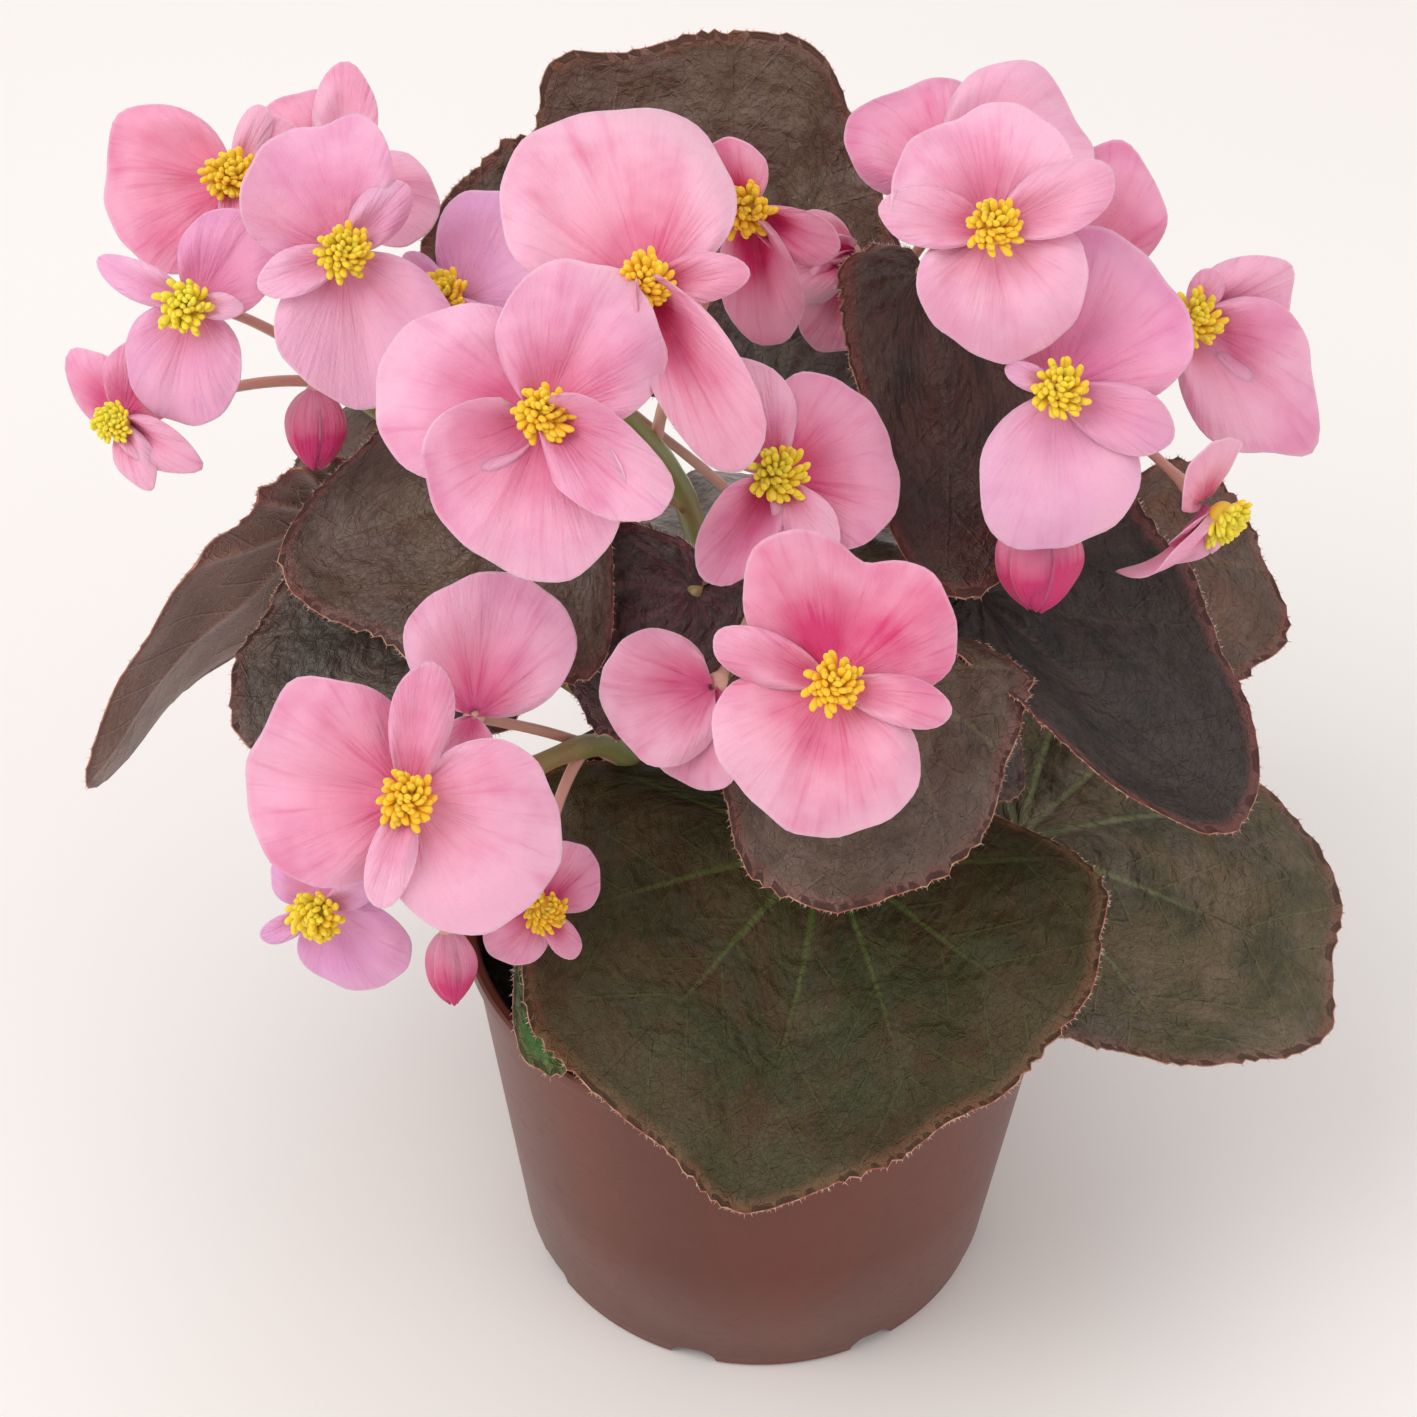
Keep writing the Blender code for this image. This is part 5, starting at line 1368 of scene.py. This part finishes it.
def make_stamens(name, placed, tint, seed):
    """A tuft of club-shaped stamens on the flower's middle."""
    settings = bpy.context.scene.begonia_flower
    rng = random.Random(seed)
    skin = Skin()
    layers = len(FLOWERS[name]["petals"]) - 1
    base = Vector((0, 0, layers * settings.layer + TUFT_HEIGHT))
    angles = np.arange(CLUB_SIDES) * math.tau / CLUB_SIDES
    small = 0.72 if max(petal[1] for petal in FLOWERS[name]["petals"]) < 15 else 1.0
    for number in range(settings.stamens):
        share = (number + 0.5) / settings.stamens
        lean = math.radians(64) * share ** 0.58
        around = number * GOLDEN_TURN + rng.uniform(-0.25, 0.25)
        lean += rng.uniform(-0.08, 0.08)
        direction = Vector((math.sin(lean) * math.cos(around), math.sin(lean) * math.sin(around),
                            math.cos(lean)))
        length = settings.stamen_length * small * rng.uniform(0.76, 1.10) * (1.0 - 0.10 * (1 - share))
        start = base + Vector((direction.x, direction.y, 0)) * 0.0013
        sideways = direction.cross(Vector((0.2, 0.3, 1))).normalized()
        other = direction.cross(sideways)
        rows, numbers = [], []
        own = (number * 0.377) % 1
        for along, half in CLUB:
            bow = 0.00035 * math.sin(math.pi * along)
            middle = start + direction * length * along + sideways * bow
            flat = 1 - 0.28 * (along > 0.5)
            ring = [sideways * math.cos(a) + other * math.sin(a) * flat for a in angles]
            rows.append([tuple(middle + spoke * half * MM * small) for spoke in ring])
            numbers.append([(a, along, own) for a in angles])
        skin.add_grid(np.array(rows), True, 0, np.array(numbers), tint)
        for ring, point, order in ((rows[-1], start + direction * length * 1.005, 1), (rows[0], start, -1)):
            fan = [(CLUB_SIDES, n, (n + 1) % CLUB_SIDES)[::order] for n in range(CLUB_SIDES)]
            skin.add(np.vstack((ring, point)), fan, 0, (0, 1, own), tint)
    boss = bmesh.new()
    bmesh.ops.create_icosphere(boss, subdivisions=3, radius=1, matrix=Matrix.Translation(base)
                               @ Matrix.Diagonal((0.0026, 0.0026, 0.0020, 1)))
    skin.add([v.co for v in boss.verts], [[v.index for v in face.verts] for face in boss.faces],
             0, (0, 0.2, 0.5), tint)
    boss.free()
    mesh = skin.mesh("stamens", "petal", "tint")
    mesh.transform(placed)
    tidy_seams(mesh)
    material = bpy.data.materials.get("stamen") or stamen_finish(settings)
    piece = show(name.replace("flower_", "stamens_"), mesh, [material])
    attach(piece, BODY)
    return piece


def make_flower(name, seed):
    """One open flower, from its hindmost petal to its stamens."""
    settings = bpy.context.scene.begonia_flower
    flower = FLOWERS[name]
    rng = random.Random(seed)
    placed = flower_frame(flower)
    tint = FLOWER_TONES[name]
    skin = Skin()
    for layer, petal in enumerate(flower["petals"]):
        add_petal(skin, placed, layer, petal, PETAL_TRAITS.get((name, layer), {}), tint, rng)
    finishes = petal_finishes(settings)
    piece = show(name.replace("flower_", "petals_"), skin.mesh(name, "petal", "tint"), finishes)
    tidy_seams(piece.data)
    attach(piece, BODY)
    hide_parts(name)
    if name not in WITHOUT_STAMENS:
        make_stamens(name, placed, tint, seed + STAMEN_SEED)
    return piece


# ---------------------------------------------------------------- buds
BUD_TINT = (0.05, 0.95, 0)   # share of the lavender painted on as shade, and depth of the pink, as for flowers


def make_bud(name, seed):
    """A bud of two cupped petals, one closed inside the other's edges."""
    settings = bpy.context.scene.begonia_flower
    bud = BUDS[name]
    rng = random.Random(seed)
    facing = heading_vector(bud["heading"], bud["tilt"])
    placed = facing.to_track_quat("Z", "Y").to_matrix().to_4x4()
    placed.translation = in_plant(bud["middle"])
    half_length, half_width = bud["length"] * MM / 2, bud["width"] * MM / 2
    skin = Skin()
    t = np.linspace(0, 1, 34)[:, None]
    for number, (turn, grow, wide) in enumerate(((0.0, 1.0, 2.2), (math.pi, 0.94, 1.9))):
        u = np.linspace(-1, 1, 44)[None, :]
        around = turn + u * wide
        girth = np.sin(math.pi * np.clip(t, 0.02, 0.985) ** 0.95) ** 0.55
        flare = 1 + (0.10 if number == 0 else 0.03) * eased(np.abs(u), 0.75, 1.0) * girth
        dimple = 1 - 0.05 * np.exp(-((np.abs(u) - 0.55) / 0.12) ** 2) - 0.02 * np.sin(5 * around + 9 * t)
        radius = girth * flare * dimple * grow
        x = half_width * radius * np.cos(around)
        y = 0.74 * half_width * radius * np.sin(around)
        z = half_length * (2 * t - 1) * (1.0 if number == 0 else 0.97) + 0 * u
        z = z + 0.06 * half_length * np.sin(3 * around + rng.uniform(0, 6)) * eased(t, 0.6, 1.0)
        outer = moved(placed, np.stack((x, y, z), -1))
        inner = moved(placed, np.stack((0.93 * x, 0.93 * y, 0.985 * z), -1))
        numbers = np.stack(np.broadcast_arrays(u, 1 - 0.85 * t, rng.random()), -1)
        skin.add_grid(outer, False, BACK, numbers, BUD_TINT)
        skin.add_grid(inner, False, FRONT, numbers, BUD_TINT, turned_over=True)
        for strip, strip_numbers in rim_strips(outer, inner, numbers):
            skin.add_grid(strip, False, BACK, strip_numbers, BUD_TINT)
    finishes = petal_finishes(settings)
    piece = show("closed_" + name, skin.mesh(name, "petal", "tint"), finishes)
    tidy_seams(piece.data)
    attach(piece, BODY)
    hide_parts(name)
    return piece


# ---------------------------------------------------------------- stage
FLOOR_RADIUS = 30.0
FLOOR_DROP = 0.0002          # the floor below the pot's foot, so that the two don't flicker
CAMERA_AIM = (-0.011, 0, 0.1275)
SENSOR_WIDTH = 36            # millimetres
SKY = (1.0, 0.974, 0.95)     # colour of the even light
# share of the key light's power, width, place, the point it shines at and colour
LIGHTS = {
    "key": (1.0, 1.1, (-0.75, -0.45, 1.35), (0, 0, 0.1), (1.0, 0.985, 0.965)),
    "top": (0.5, 1.6, (0.35, 0.6, 1.7), (0, 0, 0.1), (0.97, 0.985, 1.0)),
    "side": (0.4, 1.2, (1.1, -0.7, 0.75), (0.05, 0, 0.08), (1.0, 0.97, 0.94)),
    "low": (0.3, 0.7, (-1.25, -0.35, 0.55), (0, 0, 0.05), (1.0, 0.98, 0.97)),
}


def floor_finish(stage):
    """A matt, pale sheet with a slightly warmer drift in it."""
    finish = Finish("pale_floor", Specular_IOR_Level=0.2)
    place = finish.place()
    drift = finish.noise(place, 1.3, 2)
    grain = finish.noise(place, 900, 2)
    warm = tuple(part * shift for part, shift in zip(stage.floor, (0.985, 0.965, 0.95)))
    colour = finish.mix(finish.step(drift, 0.35, 0.65), tuple(stage.floor), warm)
    return finish.done(colour, finish.step(grain, 0.2, 0.8, 0.75, 0.9), finish.raised(grain, 0.00005, 0.2))


def soft_light(name, power, width, place, aim, colour):
    """A round area light turned to the point it shines at."""
    lamp = bpy.data.lights.new(name, "AREA")
    lamp.shape = "DISK"
    lamp.size = width
    lamp.energy = power
    lamp.color = colour
    holder = bpy.data.objects.new(name, lamp)
    holder.location = place
    holder.rotation_mode = "QUATERNION"
    holder.rotation_quaternion = (Vector(aim) - Vector(place)).to_track_quat("-Z", "Y")
    bpy.context.scene.collection.objects.link(holder)


def make_stage():
    """The floor, the lights, the even light all round and the camera."""
    stage = bpy.context.scene.begonia_stage
    scene = bpy.context.scene
    sheet = bmesh.new()
    bmesh.ops.create_circle(sheet, cap_ends=True, segments=96, radius=FLOOR_RADIUS)
    mesh = bpy.data.meshes.new("floor")
    sheet.to_mesh(mesh)
    sheet.free()
    mesh.materials.append(floor_finish(stage))
    floor = bpy.data.objects.new("floor", mesh)
    floor.location = (0, 0, -FLOOR_DROP)
    scene.collection.objects.link(floor)
    for name, (share, width, place, aim, colour) in LIGHTS.items():
        soft_light(name, share * stage.key, width, place, aim, colour)
    world = bpy.data.worlds.new("even_light")
    world.use_nodes = True
    ground = world.node_tree.nodes["Background"]
    ground.inputs["Color"].default_value = (*SKY, 1)
    ground.inputs["Strength"].default_value = stage.fill
    scene.world = world
    scene.view_settings.view_transform = "Standard"
    forward = Vector((0, math.cos(stage.elevation), -math.sin(stage.elevation)))
    right = Vector((1, 0, 0))
    up = right.cross(forward)
    turned_right = right * math.cos(stage.roll) + up * math.sin(stage.roll)
    turned_up = up * math.cos(stage.roll) - right * math.sin(stage.roll)
    lens = bpy.data.cameras.new("camera")
    lens.lens = stage.lens
    lens.sensor_width = SENSOR_WIDTH
    lens.clip_start, lens.clip_end = 0.02, 30
    camera = bpy.data.objects.new("camera", lens)
    camera.matrix_world = (Matrix.Translation(Vector(CAMERA_AIM) - forward * stage.distance)
                           @ Matrix((turned_right, turned_up, -forward)).transposed().to_4x4())
    scene.collection.objects.link(camera)
    scene.camera = camera


# ---------------------------------------------------------------- operators and panel
# each leaf, flower and bud has its own random draws, numbered from here in table order
LEAF_SEED, FLOWER_SEED, BUD_SEED = 20, 100, 300
STAMEN_SEED = 500            # a flower's stamens, counted on from its own number


class BEGONIA_OT_pot(bpy.types.Operator):
    """Make the nursery pot with its lip, foot band and drainage arches"""
    bl_idname = "begonia.pot"
    bl_label = "Make Pot"

    def execute(self, context):
        make_pot()
        return {"FINISHED"}


class BEGONIA_OT_compost(bpy.types.Operator):
    """Make the compost's crumbly surface"""
    bl_idname = "begonia.compost"
    bl_label = "Make Compost"

    def execute(self, context):
        make_compost()
        return {"FINISHED"}


class BEGONIA_OT_shoots(bpy.types.Operator):
    """Make the main stems with their leaf and flower stalks"""
    bl_idname = "begonia.shoots"
    bl_label = "Make Stems"

    def execute(self, context):
        for name in SHOOTS:
            make_shoot(name)
        return {"FINISHED"}


class BEGONIA_OT_leaves(bpy.types.Operator):
    """Make the leaves with their veins, teeth and hairs"""
    bl_idname = "begonia.leaves"
    bl_label = "Make Leaves"

    def execute(self, context):
        for seed, name in enumerate(LEAVES):
            make_leaf(name, LEAF_SEED + seed)
        return {"FINISHED"}


class BEGONIA_OT_flowers(bpy.types.Operator):
    """Make the open flowers, petals and stamens"""
    bl_idname = "begonia.flowers"
    bl_label = "Make Flowers"

    def execute(self, context):
        for seed, name in enumerate(FLOWERS):
            make_flower(name, FLOWER_SEED + seed)
        return {"FINISHED"}


class BEGONIA_OT_buds(bpy.types.Operator):
    """Make the closed buds"""
    bl_idname = "begonia.buds"
    bl_label = "Make Buds"

    def execute(self, context):
        for seed, name in enumerate(BUDS):
            make_bud(name, BUD_SEED + seed)
        return {"FINISHED"}


class BEGONIA_OT_stage(bpy.types.Operator):
    """Make the floor, the soft lights and the camera"""
    bl_idname = "begonia.stage"
    bl_label = "Make Stage"

    def execute(self, context):
        make_stage()
        return {"FINISHED"}


class BEGONIA_PT_panel(bpy.types.Panel):
    """Lists the plant's sizes, colours and pieces"""
    bl_idname = "BEGONIA_PT_panel"
    bl_label = "Potted Begonia"
    bl_space_type = "VIEW_3D"
    bl_region_type = "UI"
    bl_category = "Begonia"

    def draw(self, context):
        for operator in OPERATORS:
            self.layout.operator(operator.bl_idname)
        for name, group in SETTINGS.items():
            box = self.layout.box()
            box.label(text=group.__doc__.rstrip("."))
            for setting in group.__annotations__:
                box.prop(getattr(context.scene, name), setting)


OPERATORS = (BEGONIA_OT_pot, BEGONIA_OT_compost, BEGONIA_OT_shoots, BEGONIA_OT_leaves,
             BEGONIA_OT_flowers, BEGONIA_OT_buds, BEGONIA_OT_stage)


def register():
    for made in (*SETTINGS.values(), *OPERATORS, BEGONIA_PT_panel):
        bpy.utils.register_class(made)
    for name, group in SETTINGS.items():
        setattr(bpy.types.Scene, name, bpy.props.PointerProperty(type=group))


def unregister():
    for name in SETTINGS:
        delattr(bpy.types.Scene, name)
    for made in (BEGONIA_PT_panel, *reversed(OPERATORS), *SETTINGS.values()):
        bpy.utils.unregister_class(made)


def main():
    register()
    for operator in OPERATORS:
        group, action = operator.bl_idname.split(".")
        getattr(getattr(bpy.ops, group), action)()
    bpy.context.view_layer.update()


if __name__ == "__main__":
    main()
